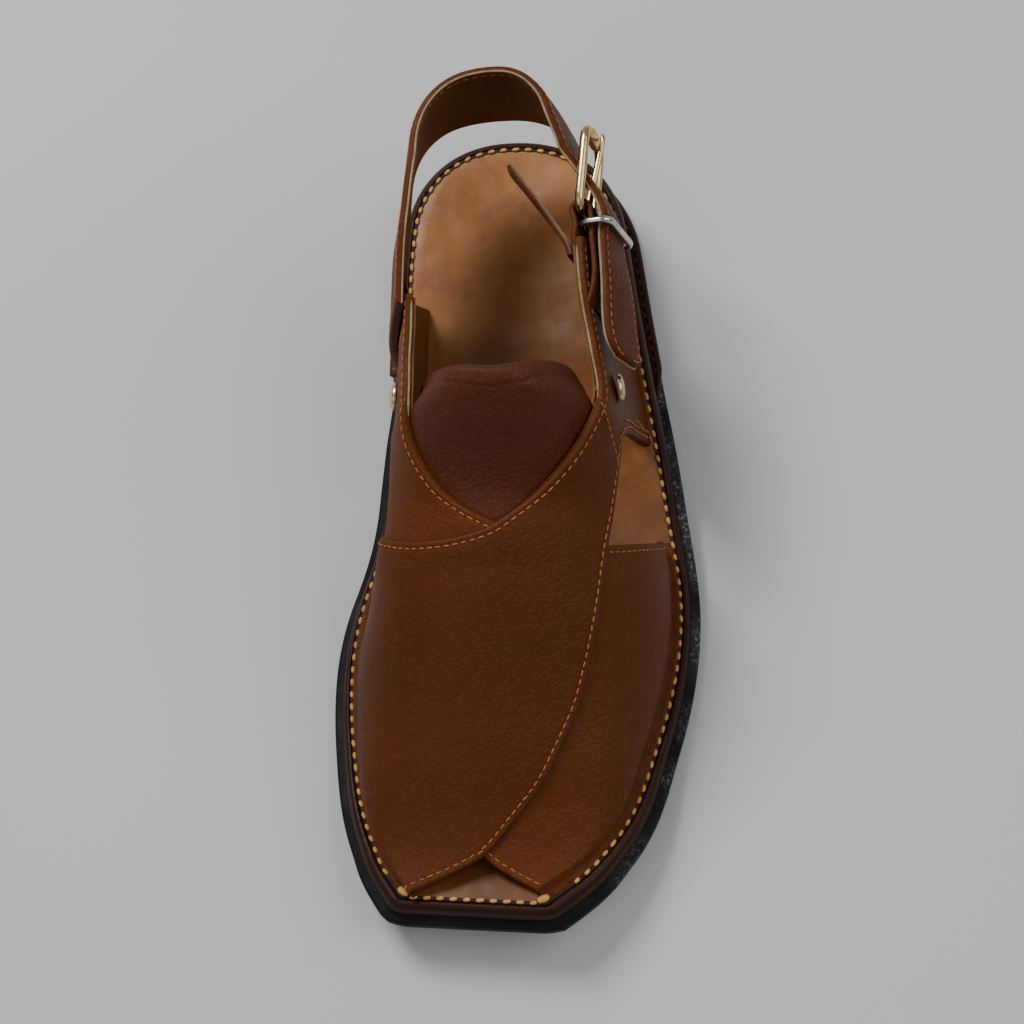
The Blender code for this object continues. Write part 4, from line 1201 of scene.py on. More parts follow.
RAND_PROFILE = (
    # margin as a share from the stitches to the edge, height over the rim
    (-0.40, -0.0042),
    (-0.38, -0.0012),
    (-0.25, -0.0004),
    (-0.18, -0.0008),
    (0.10, -0.0008),
    (0.20, 0.0002),
    (0.32, 0.0006),
    (0.48, 0.0006),
    (0.64, 0.0001),
    (0.80, -0.0009),
    (0.92, -0.0022),
    (0.98, -0.0034),
    (1.00, -0.0046),
)


LIP_PROFILE = (
    # share of the lip's width, share of its height
    (0.08, 1.0),
    (0.30, 1.04),
    (0.40, 0.80),
    (0.52, 0.80),
    (0.62, 1.06),
    (0.86, 1.0),
    (0.97, 0.75),
    (1.0, 0.45),
    (0.98, 0.1),
    (0.90, 0.0),
)
RAND_INSET = 0.0004


def rand_shoulder(y):
    """Where the round shoulder ends and the straight face begins."""
    return rim_top(y) - 0.0046


def lip_top(y):
    """Top of the stitched lip at the heel. Ahead of the heel it lies on the rubber."""
    height = np.minimum(LIP_HEIGHT - OUTSOLE_HEEL, 0.55 * (rand_shoulder(y) - rand_foot(y)))
    return rand_foot(y) + height * ease(along_of(y), WEDGE_START - 0.03, WEDGE_START + 0.03)


def make_rand():
    """The wrapped edge: groove for the stitches, round shoulder, straight face and stitched heel lip."""
    rings = []
    for share, height in RAND_PROFILE:

        def place(y):
            return stitch_margin(y) + (rand_margin(y) - stitch_margin(y)) * share

        def level(y):
            return rim_top(y) + (height * (1 - 0.35 * ease(along_of(y), 0.5, 0.8)) if height < 0 else height)

        rings.append(ring(place, level))
    for share in (0.75, 0.5, 0.25, 0.08):

        def place(y):
            return rand_margin(y) - RAND_INSET - 0.0006 * ease(along_of(y), 0.62, 0.75)

        def level(y):
            return lip_top(y) + (rand_shoulder(y) - lip_top(y)) * share

        rings.append(ring(place, level))
    for share, height in LIP_PROFILE:

        def place(y):
            out = (lip_margin(y) - rand_margin(y)) * share
            return rand_margin(y) - RAND_INSET * (1 - share) + out - RAND_INSET * share

        def level(y):
            return rand_foot(y) + (lip_top(y) - rand_foot(y)) * height

        rings.append(ring(place, level))
    rings.append(ring(0.002, rand_foot))
    sole_layer("rand_and_heel", rings, RAND_LEATHER, ("midsole", "heel_wedge"), 38.0)


def recalc(thing):
    """Join points that lie in one place, and turn the faces outward."""
    bm = bmesh.new()
    bm.from_mesh(thing.data)
    bmesh.ops.remove_doubles(bm, verts=bm.verts, dist=1e-6)
    bmesh.ops.recalc_face_normals(bm, faces=bm.faces)
    bm.to_mesh(thing.data)
    bm.free()


def sole_layer(name, rings, material, nodes, smooth_angle):
    """A layer of the sole from its rings, closed across between the two sides at both ends."""
    rings = np.array(rings)
    count = rings.shape[1]
    faces = grid_faces(len(rings), count, wrap=True)
    start = (len(rings) - 1) * count
    for k in range((count + 1) // 2 - 1):
        for base, turn in ((0, -1), (start, 1)):
            face = [base + k, base + k + 1, base + (-(k + 2)) % count, base + (-(k + 1)) % count]
            faces.append(tuple(dict.fromkeys(face))[::turn])
    recalc(new_piece(name, rings.reshape(-1, 3), faces, [material], nodes, None, smooth_angle))


def make_outsole():
    """The black rubber sole, with rounded edges."""
    edge = TREAD_MARGIN
    below = (
        (0.0, 0.0), (edge - 0.0016, 0.0), (edge - 0.0006, 0.0004), (edge - 0.0001, 0.0012), (edge, 0.0020)
    )
    above = ((edge, 0.0012), (edge - 0.0003, 0.0004), (edge - 0.0010, 0.0), (0.002, 0.0))
    rings = [ring(margin, lambda y: underside(y) + rise) for margin, rise in below]
    rings += [ring(margin, lambda y: tread_top(y) - drop) for margin, drop in above]
    sole_layer("rubber_outsole", rings, RUBBER, ("outsole",), 40.0)


def make_insole():
    """Tan sheet from side to side, out to the stitches, a little dished under the heel and the ball."""
    margin = lambda y: stitch_margin(y) - 0.0002
    outer = ring_side(1.0, margin, rim_top)[CORNER_STEPS - 1 :]
    inner = ring_side(-1.0, margin, rim_top)[CORNER_STEPS - 1 :]
    shares = np.concatenate([[0.0, 0.012, 0.03, 0.06], np.linspace(0.1, 0.9, 33), [0.94, 0.97, 0.988, 1.0]])
    rows = inner[:, None] + (outer - inner)[:, None] * shares[None, :, None]
    y = rows[..., 1]
    edge = np.minimum(shares, 1 - shares)
    crown = ease(edge, 0.0, 0.035)
    end = ease(STATIONS[-1] - along_of(y), -0.012, 0.05) * ease(along_of(y), -0.018, 0.02)
    bed = foot_bed(y) - rim_top(y)
    dish = 0.0016 * np.sin(np.pi * shares) ** 2 * ease(along_of(y), 0.62, 0.80) * end
    ball = 0.0007 * np.sin(np.pi * shares) ** 2 * np.exp(-(((along_of(y) - 0.33) / 0.10) ** 2))
    top = rim_top(y) + 0.0003 + (bed - 0.0003) * crown * end - dish - ball
    swell = 0.00018 * np.sin(rows[..., 0] * 210 + y * 90) * np.sin(y * 160 + rows[..., 0] * 60) * crown * end
    upper = np.stack([rows[..., 0], y, top + swell], -1)
    lower = np.stack([rows[..., 0], y, rim_top(y) - 0.0009], -1)
    return shell("insole_sheet", upper, lower, [INSOLE, INSOLE, INSOLE], ("insole",))


# Where leather stands on the rim, as stretches along the foot on each side
FOOTED = {-1.0: ((-0.004, 0.486), (0.604, 0.752)), 1.0: ((-0.004, 0.467), (0.602, 0.790))}


def make_flanges():
    """The turned-out foot of the bands, through which the thick stitches go."""
    profile = (
        (0.0, -0.0016, 0.0040), (0.0, -0.0004, 0.0024), (0.0, 0.0004, 0.0016), (0.0, 0.0012, 0.0013),
        (0.6, 0.0000, 0.0013)
    )
    profile += (
        (1.0, -0.0004, 0.0011), (1.0, 0.0000, 0.0006), (1.0, 0.0000, -0.0002), (1.0, -0.0006, -0.0012),
        (0.0, 0.0, -0.0012), (0.0, -0.0016, 0.0002)
    )
    stations = np.concatenate([np.zeros(CORNER_STEPS), STATIONS])
    index = 0
    for side, stretches in FOOTED.items():
        points, normals = EDGES[side]
        for start, end in stretches:
            index += 1
            keep = (stations >= start) & (stations <= end)
            keep[:CORNER_STEPS] = False
            p, n, s = points[keep], normals[keep], stations[keep]
            reach = stitch_margin(p[:, 1]) * waist(side, p[:, 1])
            inside = inner_draw(s) * 0.85 if side < 0 else np.zeros(len(s))
            wave = 0.00028 * np.sin(s * 120.0) + 0.0002 * np.sin(s * 287.0 + 1.0)
            rows = []
            for k, (share, extra, height) in enumerate(profile):
                shift = wave * (1.0 if k < 4 else 0.0) - inside * (share == 0.0)
                place = p + n * (reach * share + extra + shift)[:, None]
                rows.append(np.concatenate([place, (rim_top(p[:, 1]) + height + 0.4 * shift)[:, None]], 1))
            grid = np.array(rows).transpose(1, 0, 2)
            faces = grid_faces(len(grid), len(profile), wrap=True)
            last = (len(grid) - 1) * len(profile)
            faces += [tuple(range(len(profile))), tuple(last + j for j in range(len(profile)))[::-1]]
            piece = new_piece(
                f"band_foot_{index}", grid.reshape(-1, 3), faces, [VAMP], (), None, 50.0
            )
            recalc(piece)


WELT_PITCH = 0.00445
LIP_PITCH = 0.0044


def upward(path):
    return np.broadcast_to((0.0, 0.0, 1.0), np.shape(path))


def make_welt_stitches():
    """Thick stitches round the rim and at the lip of the heel, and the knots at the toe."""
    level = lambda y: rim_top(y) + 0.0005
    sides = {side: ring_side(side, stitch_margin, level)[CORNER_STEPS:] for side in (1.0, -1.0)}
    keep = STATIONS > 0.022
    line = np.concatenate([sides[1.0][keep], sides[-1.0][keep][-2::-1]])
    toe = [ring_side(side, stitch_margin, level)[0] for side in (-1.0, 1.0)]
    paths = [(line, upward(line)), (np.array(toe), upward(np.zeros((2, 3))))]
    stitches(
        "welt_stitches", paths, WELT_PITCH, 0.0026, 0.0014, 0.0013, GOLD_THREAD, 8, 8, 0.0003,
        0.10
    )
    # The dark tube in the groove under the stitches is painted shade.
    tube(
        "painted_groove_shade", ring(stitch_margin, lambda y: rim_top(y) - 0.0002), 0.0009, GROOVE_SHADE,
        (), True, 6
    )
    points, faces = [], []
    shape, shape_faces = bead_template(8, 10)
    for side in (1.0, -1.0):
        start = len(points) * len(shape)
        corner, normals = EDGES[side]
        place = corner[CORNER_STEPS] + normals[CORNER_STEPS] * 0.0013
        turned = np.array((0.80, 0.45 * side - 0.10, 0.0))
        turned /= np.linalg.norm(turned)
        spread = np.stack(
            [turned * 0.0021, np.array((-turned[1], turned[0], 0.0)) * 0.0013, np.array((0.0, 0.0, 0.0011))]
        )
        points.append(shape @ spread + (place[0], place[1], rim_top(corner[CORNER_STEPS][1]) + 0.0016))
        faces += [tuple(start + v for v in face) for face in shape_faces]
    new_piece("corner_knots", np.concatenate(points), faces, [GOLD_THREAD])
    lip = ring(
        lambda y: rand_margin(y) + 0.46 * (lip_margin(y) - rand_margin(y)),
        lambda y: rand_foot(y) + (LIP_HEIGHT - OUTSOLE_HEEL) * 0.86
    )
    keep = along_of(lip[:, 1]) > 0.705
    path = lip[keep]
    inner = path[len(path) // 2 - 26 :]
    outer = path[: len(path) // 2 - 25]
    stitches(
        "heel_stitches", [(inner, upward(inner))], LIP_PITCH, 0.0025, 0.0013, 0.0011, GOLD_THREAD,
        7, 7, 0.0001, 0.08
    )
    # The outer lip's stitches take the dark thread: painted shade on the same gold thread.
    stitches(
        "lip_stitches_outer", [(outer, upward(outer))], LIP_PITCH, 0.0023, 0.0011, 0.0008, SHADED_LIP_THREAD,
        7, 7, -0.0001, 0.08
    )


# Tongue


def make_tongue():
    """A padded sheet under the bands, rounded at its edges, with its droop behind the crossing."""
    inner = table([(row[0], row[1]) for row in TONGUE], 1.0)
    outer = table([(row[0], row[2]) for row in TONGUE], 1.0)
    end = table(TONGUE_END, 1.0)
    root = TONGUE[0][0]
    down = np.concatenate([np.linspace(0, 0.9, 40), np.linspace(0.91, 1.0, 16)])
    across = np.concatenate([np.linspace(0, 0.05, 8), np.linspace(0.07, 0.93, 44), np.linspace(0.95, 1.0, 8)])
    share, side = np.meshgrid(down, across, indexing="ij")
    along = root + (end(side) - root) * share
    around = inner(along) + (outer(along) - inner(along)) * side
    droop = TONGUE_DROOP * ease(along, 0.540, 0.590)
    base, normal = last_surface(along, around), last_normal(along, around)
    length = np.linalg.norm(base[-1, 26] - base[0, 26])
    width = np.linalg.norm(base[30, -1] - base[30, 0]) * 1.15
    edge = np.minimum(np.minimum(side, 1 - side) * width, (1 - share) * length)
    radius = 0.0017
    t = np.clip(edge / radius, 0.0, 1.0)
    thick = (TONGUE_EDGE + (1.0 - TONGUE_EDGE) * np.sqrt(np.maximum(1 - (1 - t) ** 2, 0.0))) * TONGUE_WALL
    seam = 0.00025 * np.exp(-(((edge - 0.0058) / 0.0009) ** 2))
    puff = 0.0009 * ease(edge, 0.006, 0.016) * ease(share, 0.55, 0.8)
    middle = -TONGUE_GAP - droop - TONGUE_WALL / 2
    folds = crease(
        along, around, ((0.538, -0.44), (0.533, -0.24), (0.531, -0.02), (0.533, 0.18), (0.538, 0.36)), 0.0003,
        0.0050
    )
    top = base + normal * (middle + thick / 2 + puff * 0.6 - seam + folds)[..., None]
    low = base + normal * (middle - thick / 2 - 0.00005)[..., None]
    pad = shell(
        "tongue_pad", top, low, [TONGUE_LEATHER, CHARCOAL, CHARCOAL], ("tongue",), 60.0
    )


# Heel strap, its buckle and its flap


class Strap:
    def __init__(self):
        rows = np.array(STRAP, float)
        number = np.arange(len(rows))
        self.curves = [Curve(number, rows[:, k]) for k in range(6)]
        self.last = float(number[-1])

    def point(self, at, share, out=0.0):
        """A point of the inner face moved out: at counts the table's rows, share runs down."""
        at, share = np.broadcast_arrays(np.asarray(at, float), np.asarray(share, float))
        top_turn, top_height, low_turn, low_height, top_push, low_push = [curve(at) for curve in self.curves]
        turn = top_turn + (low_turn - top_turn) * share
        height = (top_height + (low_height - top_height) * share) * STRAP_HEIGHT
        place = wall_point(turn, height, top_push + (low_push - top_push) * share + out)
        bulge = STRAP_FRONT_BULGE * np.clip(1 - 0.75 * at, 0.0, 1.0) * np.sin(np.pi * share)
        place[..., 1] -= bulge
        return place

    def normal(self, at, share):
        a = self.point(at + 0.02, share) - self.point(at - 0.02, share)
        b = self.point(at, share + 0.01) - self.point(at, share - 0.01)
        normal = np.cross(a, b)
        outward = self.point(at, share, 0.001) - self.point(at, share)
        normal = normal * np.sign((normal * outward).sum(-1, keepdims=True))
        return unit(normal)

    def width(self, at):
        line = self.point(np.asarray(at)[:, None], np.linspace(0, 1, 15)[None, :])
        return np.linalg.norm(np.diff(line, axis=1), axis=2).sum(1)


def make_strap():
    """The heel strap from its inner front round the heel to its free end, with stitches and pale edges."""
    strap = Strap()
    at = np.concatenate(
        [
            np.linspace(0, 0.12, 8), np.linspace(0.14, strap.last - 0.1, 260),
            np.linspace(strap.last - 0.09, strap.last, 8)
        ]
    )
    width = strap.width(at)
    shares = np.array([across_shares(w, 22) for w in width])
    grid_at = np.broadcast_to(at[:, None], shares.shape)
    base, normal = strap.point(grid_at, shares), strap.normal(grid_at, shares)
    from_top, from_low = shares * width[:, None], (1 - shares) * width[:, None]
    middle = strap.point(at, np.full(at.shape, 0.5))
    arc = arc_of(middle)
    from_start, from_end = arc[:, None], (arc[-1] - arc)[:, None]
    lift = (
        STRAP_WALL - edge_drop(from_top) - edge_drop(from_low) - edge_drop(from_start)
        - edge_drop(from_end)
    )
    lift = lift - seam_dent(from_top, SEAM) - seam_dent(from_low, SEAM)
    crown = STRAP_CROWN * np.sin(np.pi * shares)
    outer = base + normal * (lift + crown)[..., None]
    shell(
        "heel_strap_leather", outer, base, [STRAP_LEATHER, STRAP_LINING, STRAP_LEATHER],
        ("heel_strap",)
    )

    def row(distance, start, end, from_low_edge=False, extra=0.0):
        picks = np.linspace(start, end, 220)
        share = distance / strap.width(picks)
        share = 1 - share if from_low_edge else share
        n = strap.normal(picks, share)
        return strap.point(picks, share) + n * (STRAP_WALL + extra), n

    def front(distance):
        shares_down = np.linspace(0.05, 0.97, 60)
        at_row = np.full(60, distance / 0.0105)
        n = strap.normal(at_row, shares_down)
        crown = STRAP_CROWN * np.sin(np.pi * shares_down)[:, None]
        return strap.point(at_row, shares_down) + n * (STRAP_WALL + crown), n

    paths = [row(SEAM, 0.15, strap.last - 0.35), row(STRAP_SECOND_SEAM, 0.35, 15.6)]
    paths += [row(SEAM, 3.1, strap.last - 0.35, True), row(STRAP_SECOND_SEAM, 3.3, 15.6, True)]
    paths += [front(0.0020), front(0.0038)]
    tip_down = np.linspace(0.12, 0.88, 30)
    tip_at = np.full(30, strap.last - 0.35)
    tip_normal = strap.normal(tip_at, tip_down)
    paths.append((strap.point(tip_at, tip_down) + tip_normal * STRAP_WALL, tip_normal))
    seam_stitches("strap_stitches", paths)
    picks = np.linspace(1.0, 16.5, 260)
    share = 0.0024 / strap.width(picks)
    n = strap.normal(picks, share)
    within = (strap.point(picks, share), -n)
    seam_stitches("strap_stitches_inner", [within], 0.0021, 0.0006, 0.0005)
    picks = np.linspace(0.0, strap.last - 0.05, 300)
    top = (
        strap.point(picks, np.full(picks.shape, 0.004))
        + strap.normal(picks, np.full(picks.shape, 0.01)) * 0.0004
    )
    cut_edge_tube("strap_cut_edge", top, 0.00042)
    tip = strap.point(np.full(30, strap.last), np.linspace(0.0, 1.0, 30))
    tip = np.concatenate([tip, strap.point(np.linspace(strap.last, 18.2, 60), np.ones(60))])
    cut_edge_tube("strap_tip_edge", tip, 0.00038)
    return strap


FRAME_LENGTH = 0.031
FRAME_WIDTH = 0.0265
FRAME_WIRE = 0.0032
FRAME_CORNER = 0.0045
FRAME_HEIGHT = 0.834
FRAME_PUSH = 0.0040
FRAME_ALONG = np.array((0.092, 0.991, 0.096))
FRAME_DOWN = np.array((0.150, 0.0, -0.989))
KEEPER_DOWN = np.array((0.290, 0.0, -0.957))
KEEPER_WIRE = 0.0024
KEEPER_HEIGHT = 0.817
KEEPER_SPAN = 0.180
KEEPER_SLACK = 0.0024
KEEPER_DEPTH = 0.0100
KEEPER_CORNER = 0.0034
KEEPER_PUSH = 0.0070
PRONG_WIRE = 0.0024
CHAPE_WALL = 0.0018
CHAPE_WIDTH = 0.0175
CHAPE_INNER = ((2.54, -0.0015), (2.31, -0.0015), (2.11, -0.0015), (1.97, -0.0013), (1.86, -0.0004))
CHAPE_OUTER = ((1.86, 0.0050), (1.97, 0.0046), (2.20, 0.0044), (2.45, 0.0038), (2.66, 0.0022), (2.78, 0.0008))


def frame_place(along, down, out):
    """A point in the buckle frame's own directions."""
    middle = wall_point(FRAME_TURN, FRAME_HEIGHT * STRAP_HEIGHT, FRAME_PUSH)
    a = FRAME_ALONG / np.linalg.norm(FRAME_ALONG)
    d = FRAME_DOWN - a * FRAME_DOWN.dot(a)
    d = d / np.linalg.norm(d)
    return middle + a * along + d * down + np.cross(d, a) * out


def rounded_loop(length, width, corner, steps=8):
    points = []
    for sign_a, sign_b, first in ((1, 1, 0), (-1, 1, 90), (-1, -1, 180), (1, -1, 270)):
        for k in range(steps + 1):
            angle = math.radians(first + 90 * k / steps)
            points.append(
                (
                    sign_a * (length / 2 - corner) + corner * math.cos(angle),
                    sign_b * (width / 2 - corner) + corner * math.sin(angle)
                )
            )
    return points


def make_buckle():
    """Frame, roller, prong and the keeper ring."""
    loop = rounded_loop(FRAME_LENGTH - FRAME_WIRE, FRAME_WIDTH - FRAME_WIRE, FRAME_CORNER)
    tube(
        "buckle_wire", [frame_place(a, b, 0.0) for a, b in loop], FRAME_WIRE / 2, BRASS,
        ("buckle_frame",), True, 16, 1.0, np.cross(FRAME_ALONG, FRAME_DOWN)
    )
    bar = (FRAME_LENGTH - FRAME_WIRE) / 2
    roller = [frame_place(bar, b, 0.0) for b in np.linspace(-0.0078, 0.0078, 12)]
    radii = [0.0016, 0.0021, 0.0022] + [0.0022] * 6 + [0.0022, 0.0021, 0.0016]
    tube("buckle_roller", roller, radii, BRASS, (), False, 18, 1.0, FRAME_ALONG)
    rest = (FRAME_WIRE + PRONG_WIRE) / 2 + 0.0003
    start = -bar + rest
    rows = (
        (start, 0.10), (start * 0.6, 0.22), (0.0, 0.55), (bar * 0.6, 0.88), (bar, 1.06), (bar * 1.12, 0.98)
    )
    stations = np.array([row[0] for row in rows])
    shape = Curve(stations, [row[1] for row in rows])
    picks = np.linspace(stations[0], stations[-1], 30)
    points = [frame_place(a, 0.0, float(shape(a)) * rest) for a in picks]
    taper = np.interp(np.linspace(0, 1, 30), (0, 0.7, 0.95, 1.0), (1.0, 0.92, 0.7, 0.35)) * PRONG_WIRE / 2
    tube("prong_pin", points, taper, BRASS, ("buckle_prong",), False, 14, 0.85, FRAME_DOWN)
    middle = wall_point(KEEPER_TURN, STRAP_HEIGHT * KEEPER_HEIGHT, KEEPER_PUSH)
    down = KEEPER_DOWN / np.linalg.norm(KEEPER_DOWN)
    out = np.array((-down[2], 0.0, down[0]))
    width = STRAP_HEIGHT * KEEPER_SPAN / -down[2] + KEEPER_WIRE + KEEPER_SLACK
    ring_points = [middle + down * a + out * b for a, b in rounded_loop(width, KEEPER_DEPTH, KEEPER_CORNER)]
    tube(
        "keeper_wire", ring_points, KEEPER_WIRE / 2, STEEL, ("keeper_ring",), True, 14, 1.0,
        (0.0, 1.0, 0.0)
    )


def make_chape():
    """The strap that goes round the frame's bar, its two ends lying on both faces of the quarter."""
    bar = -(FRAME_LENGTH - FRAME_WIRE) / 2
    reach = FRAME_WIRE / 2 + 0.0006 + CHAPE_WALL / 2
    across = across_shares(CHAPE_WIDTH, 10)
    inner_curve = Curve([-row[0] for row in CHAPE_INNER], [row[1] for row in CHAPE_INNER])
    outer_curve = Curve([row[0] for row in CHAPE_OUTER], [row[1] for row in CHAPE_OUTER])
    columns = []
    for share in across:
        drop = (share - 0.5) * CHAPE_WIDTH
        height = frame_place(bar, drop, 0.0)[2]
        line = [
            wall_point(-t, height, inner_curve(t))
            for t in np.linspace(-CHAPE_INNER[0][0], -CHAPE_INNER[-1][0], 16)
        ]
        for k in range(13):
            angle = math.pi * (1.0 - k / 12)
            line.append(frame_place(bar + reach * math.sin(angle), drop, reach * math.cos(angle)))
        line += [
            wall_point(t, height, outer_curve(t))
            for t in np.linspace(CHAPE_OUTER[0][0], CHAPE_OUTER[-1][0], 22)
        ]
        columns.append(line)
    middle = np.array(columns).transpose(1, 0, 2)
    forward = np.gradient(middle, axis=0)
    sideways = np.gradient(middle, axis=1)
    normal = np.cross(forward, sideways)
    normal = unit(normal)
    if (normal[0, 10] * (middle[0, 10] - np.array((0.0, middle[0, 10][1], middle[0, 10][2])))).sum() > 0:
        normal = -normal
    distance = np.minimum(across, 1 - across) * CHAPE_WIDTH
    half = CHAPE_WALL / 2 - edge_drop(distance, 0.0008)
    outer = middle + normal * half[None, :, None]
    inner = middle - normal * half[None, :, None]
    shell(
        "chape_leather", outer, inner, [STRAP_LEATHER, STRAP_LINING, STRAP_LEATHER],
        ("buckle_loop",)
    )


GUARD_HEIGHT = 0.765
GUARD_WIDTH = 0.023
GUARD_WALL = 0.0018
GUARD_STEP = 0.0045


def make_guard():
    """The flap behind the buckle, lying inside the shoe."""
    rows = (
        # turn in heel rounds, push outward, shares of the width above and below its middle
        (2.18, -0.0042, 0.50, 0.50),
        (2.08, -0.0046, 0.50, 0.50),
        (1.97, -0.0058, 0.50, 0.50),
        (1.82, -0.0084, 0.50, 0.50),
        (1.58, -0.0123, 0.50, 0.50),
        (1.34, -0.0167, 0.50, 0.49),
        (1.14, -0.0201, 0.46, 0.42),
        (1.04, -0.0219, 0.36, 0.28),
    )
    rows = np.array(rows)
    number = np.arange(len(rows))
    turn, push, above, below = [Curve(number, rows[:, k]) for k in range(4)]
    at = np.concatenate([np.linspace(0, 6.8, 60), np.linspace(6.85, 7, 6)])
    across = np.concatenate([[0, 0.02, 0.05], np.linspace(0.1, 0.9, 18), [0.95, 0.98, 1.0]])
    a, s = np.meshgrid(at, across, indexing="ij")
    rise = above(a) + (-below(a) - above(a)) * s
    flop = 0.0012 * np.sin(s * math.pi) * ease(a, 3.0, 7.0)
    middle = wall_point(turn(a), GUARD_HEIGHT * STRAP_HEIGHT + rise * GUARD_WIDTH, push(a) - flop)
    normal = np.cross(np.gradient(middle, axis=0), np.gradient(middle, axis=1))
    normal = unit(normal)
    edge = np.minimum(np.minimum(s, 1 - s) * GUARD_WIDTH, (7 - a) * GUARD_STEP)
    half = GUARD_WALL / 2 - edge_drop(edge, 0.0007)
    outer = middle + normal * half[..., None]
    inner = middle - normal * half[..., None]
    shell("guard_flap", outer, inner, [STRAP_LEATHER, SUEDE, STRAP_LEATHER], ("buckle_guard",))


RIVET_DROP = 0.18
RIVET_RISE = 0.0020
RIVETS = (
    # piece, node, along the foot, around the last, height over the last
    ("rivet_cap_inner", "rivet_medial", 0.602, -0.725, WALL),
    ("rivet_cap_outer", "rivet_lateral", 0.591, 0.650, RAISE + TOP_WALL),
)


def make_rivets():
    """Domed caps. The outer one tips down a little with its quarter."""
    for name, node, along, around, lift in RIVETS:
        profile = [(0.0, RIVET_RISE)]
        for k in range(1, 13):
            angle = math.radians(90 * k / 12)
            profile.append((0.0044 * math.sin(angle), RIVET_RISE - 0.0014 * (1 - math.cos(angle))))
        profile += [(0.0045, 0.0004), (0.0048, 0.0003), (0.0048, 0.0), (0.0, 0.0)]
        sides = 40
        place = last_surface(along, around) + last_normal(along, around) * (lift + 0.0003)
        normal = Vector(last_normal(along, around)) - Vector((0.0, 0.0, RIVET_DROP if around > 0 else 0.0))
        turn = normal.normalized().to_track_quat("Z", "Y").to_matrix()
        turn = np.array(turn)
        points = []
        for reach, rise in profile:
            for j in range(sides):
                angle = 2 * math.pi * j / sides
                points.append(
                    place + turn @ np.array((reach * math.cos(angle), reach * math.sin(angle), rise))
                )
        thing = new_piece(
            name, points, grid_faces(len(profile), sides, wrap=True), [BRASS], (node,), None, 30.0
        )
        recalc(thing)


LINING_FOOT = 0.0036
LINING_WALL = 0.0008


def make_linings(top, low):
    """The inner skins of the two quarters. Their feet stand on the insole, a little inside the stitches."""
    for name, band, side, end in (("lining_inner", low, -1.0, 0.782), ("lining_outer", top, 1.0, 0.785)):
        edge = np.array([band.back(t) for t in np.linspace(0.71, 0.985, 60)])
        down = np.linspace(0.012, 1.0, 28)
        foot = np.linspace(0.622, end, 60)[:, None]
        along = edge[:, :1] + (foot - edge[:, :1]) * down
        around = edge[:, 1:] + (side * 1.02 - edge[:, 1:]) * down
        base, normal = last_surface(along, around), last_normal(along, around)
        rise = np.maximum(0.0, base[..., 2] - foot_bed(base[..., 1]))
        flat = level_side(normal)
        inward = 0.0003 + LINING_FOOT * np.maximum(0.0, 1.0 - rise / 0.030) ** 2
        outer = base - flat * inward[..., None]
        shell(name, outer, outer - flat * LINING_WALL, [LINING, LINING, LINING])


def tapered(count, share=0.06):
    ends = np.linspace(0.0, 1.0, count)
    return 0.25 + 0.75 * ease(np.minimum(ends, 1.0 - ends), 0.0, share)


def make_band_stitches(top, low):
    """Rows along the bands' edges, the quarter seams and the pale collar edges."""
    paths = [
        top.line(SEAM, 0.035, 0.79, 400), top.line(-SEAM, 0.03, 0.985, 300),
        top.line(SECOND_SEAM, 0.685, 0.79)
    ]
    paths += [low.line(SEAM, 0.05, 0.84, 400), low.line(-SEAM, 0.03, 0.985, 300)]
    for band, seam, travel in ((top, OUTER_SEAM, 0.66), (low, INNER_SEAM, 0.70)):
        down = np.linspace(seam[0][0], seam[-1][0], 60)
        along = table([(row[0], row[1]) for row in seam], 1.0)(down)
        paths.append(band.on(along, down, np.full(60, travel)))
    for ahead, end in ((0.0, 1.0), (0.0060, 0.35)):
        down = np.linspace(0.0, end, 80)
        around = -0.60 - 0.37 * down
        paths.append(low.on(0.664 - ahead + 0.012 * down, around, np.full(80, 0.95)))
    seam_stitches("band_stitches", paths)

    def edge(band, start, end, name):
        rows = [k for k, t in enumerate(band.travels) if start <= t <= end]
        points = [band.base[k, -1] + band.normal[k, -1] * (band.raised[k] + 0.0004) for k in rows]
        cut_edge_tube(name, points, 0.00042 * tapered(len(points)))

    edge(top, 0.712, 0.985, "collar_edge_outer")
    edge(low, 0.722, 0.985, "collar_edge_inner")


# Floor, light and camera


LIGHTS = (
    # name, place, size, power, colour
    ("key", (-0.62, 0.62, 1.20), 0.55, 19.0, (1.0, 0.98, 0.95)),
    ("fill", (0.95, -0.1, 1.2), 1.1, 8.5, (0.98, 0.98, 1.0)),
    ("front", (-0.6, -1.0, 1.1), 0.9, 3.0, (1.0, 1.0, 1.0)),
)
LIGHT_AIM = (0.0, -0.10, 0.03)


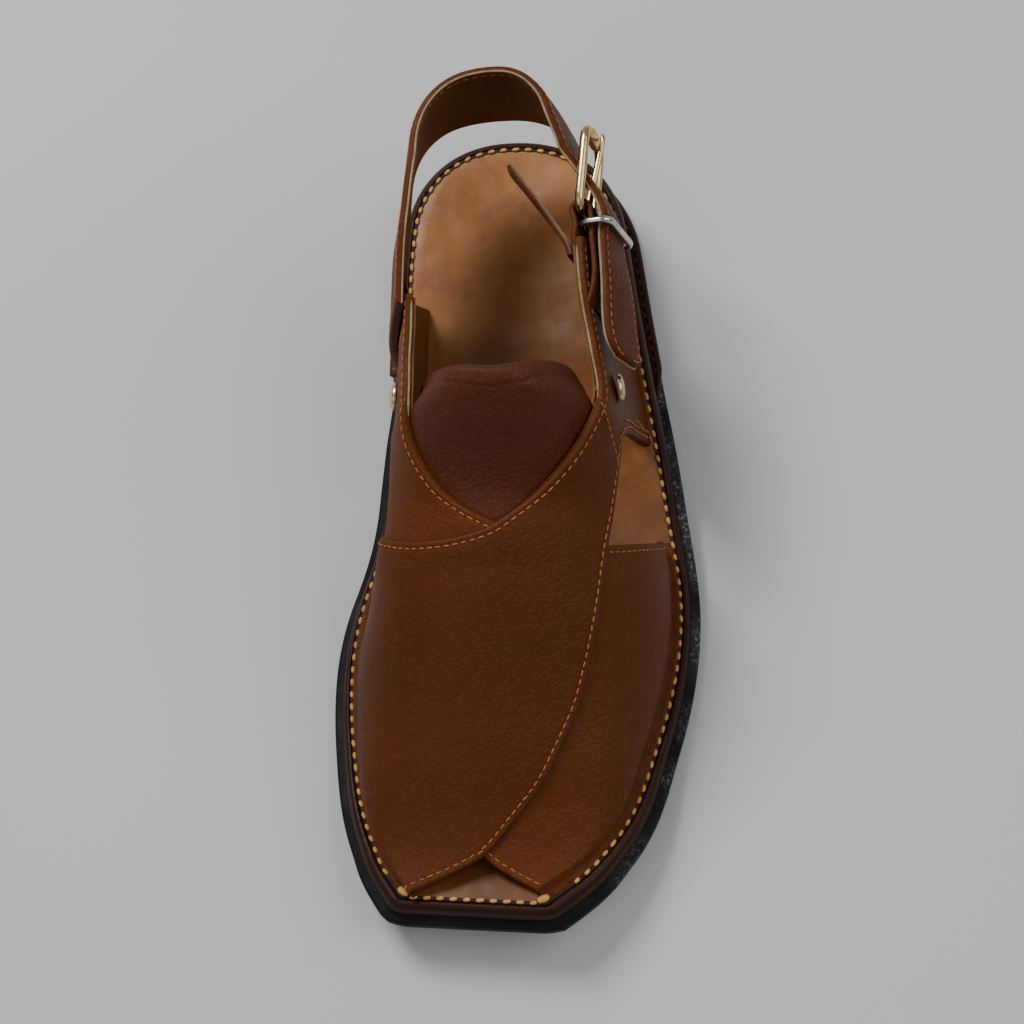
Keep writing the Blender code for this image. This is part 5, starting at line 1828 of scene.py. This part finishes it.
def make_stage():
    """Pale floor, an even sky and three soft lights."""
    n = Nodes("floor_paint")
    colour = n.ramp(n.noise(2.2, 3.0, 0.5), (0.3, (0.50, 0.505, 0.515)), (0.7, (0.56, 0.565, 0.575)))
    n.finish(colour, 0.75, n.bump(n.noise(240.0, 3.0), 0.00008, 0.3))
    mesh = bpy.data.meshes.new("floor")
    mesh.from_pydata([(-6, -6, 0), (6, -6, 0), (6, 6, 0), (-6, 6, 0)], [], [(0, 1, 2, 3)])
    mesh.materials.append(n.material)
    floor = bpy.data.objects.new("floor", mesh)
    bpy.context.scene.collection.objects.link(floor)
    world = bpy.data.worlds.new("studio")
    world.use_nodes = True
    world.node_tree.nodes["Background"].inputs["Color"].default_value = (0.97, 0.98, 1.0, 1.0)
    world.node_tree.nodes["Background"].inputs["Strength"].default_value = 0.24
    bpy.context.scene.world = world
    for name, place, size, power, colour in LIGHTS:
        light = bpy.data.lights.new(name, "AREA")
        light.size = size
        light.energy = power
        light.color = colour
        lamp = bpy.data.objects.new(name, light)
        lamp.location = place
        aim = Vector(LIGHT_AIM) - Vector(place)
        lamp.rotation_euler = aim.to_track_quat("-Z", "Y").to_euler()
        bpy.context.scene.collection.objects.link(lamp)


# Azimuth, elevation and roll in degrees, place in metres and lens in millimetres
CAMERA_ANGLES = (30.92, 67.29, -30.1)
CAMERA_PLACE = (0.0651, -0.3770, 0.8369)
CAMERA_LENS = 88.0


def make_camera():
    """The photograph's angle to the shoe, turned to look at its middle."""
    azimuth, elevation, roll = (math.radians(v) for v in CAMERA_ANGLES)
    back = Vector(
        (
            math.sin(azimuth) * math.cos(elevation), -math.cos(azimuth) * math.cos(elevation),
            math.sin(elevation)
        )
    )
    forward = -back
    right = forward.cross(Vector((0, 0, 1))).normalized()
    up = right.cross(forward)
    turned_right = right * math.cos(roll) + up * math.sin(roll)
    turned_up = up * math.cos(roll) - right * math.sin(roll)
    place = Vector(CAMERA_PLACE)
    low, high = cad_box
    aim = Vector(((low[0] + high[0]) / 2, (low[1] + high[1]) / 2 - 0.004, 0.035)) - place
    turn = forward.rotation_difference(aim.normalized())
    turned_right.rotate(turn)
    turned_up.rotate(turn)
    facing = -aim.normalized()
    matrix = Matrix((turned_right, turned_up, facing)).transposed().to_4x4()
    matrix.translation = place
    data = bpy.data.cameras.new("camera")
    data.sensor_width = 36.0
    data.lens = CAMERA_LENS
    data.clip_start = 0.01
    camera = bpy.data.objects.new("camera", data)
    camera.matrix_world = matrix
    bpy.context.scene.collection.objects.link(camera)
    bpy.context.scene.camera = camera


top_band, lower_band = make_bands()
make_band_stitches(top_band, lower_band)
make_linings(top_band, lower_band)
make_outsole()
make_rand()
make_insole()
make_flanges()
make_welt_stitches()
make_tongue()
make_strap()
make_buckle()
make_chape()
make_guard()
make_rivets()
make_stage()
make_camera()
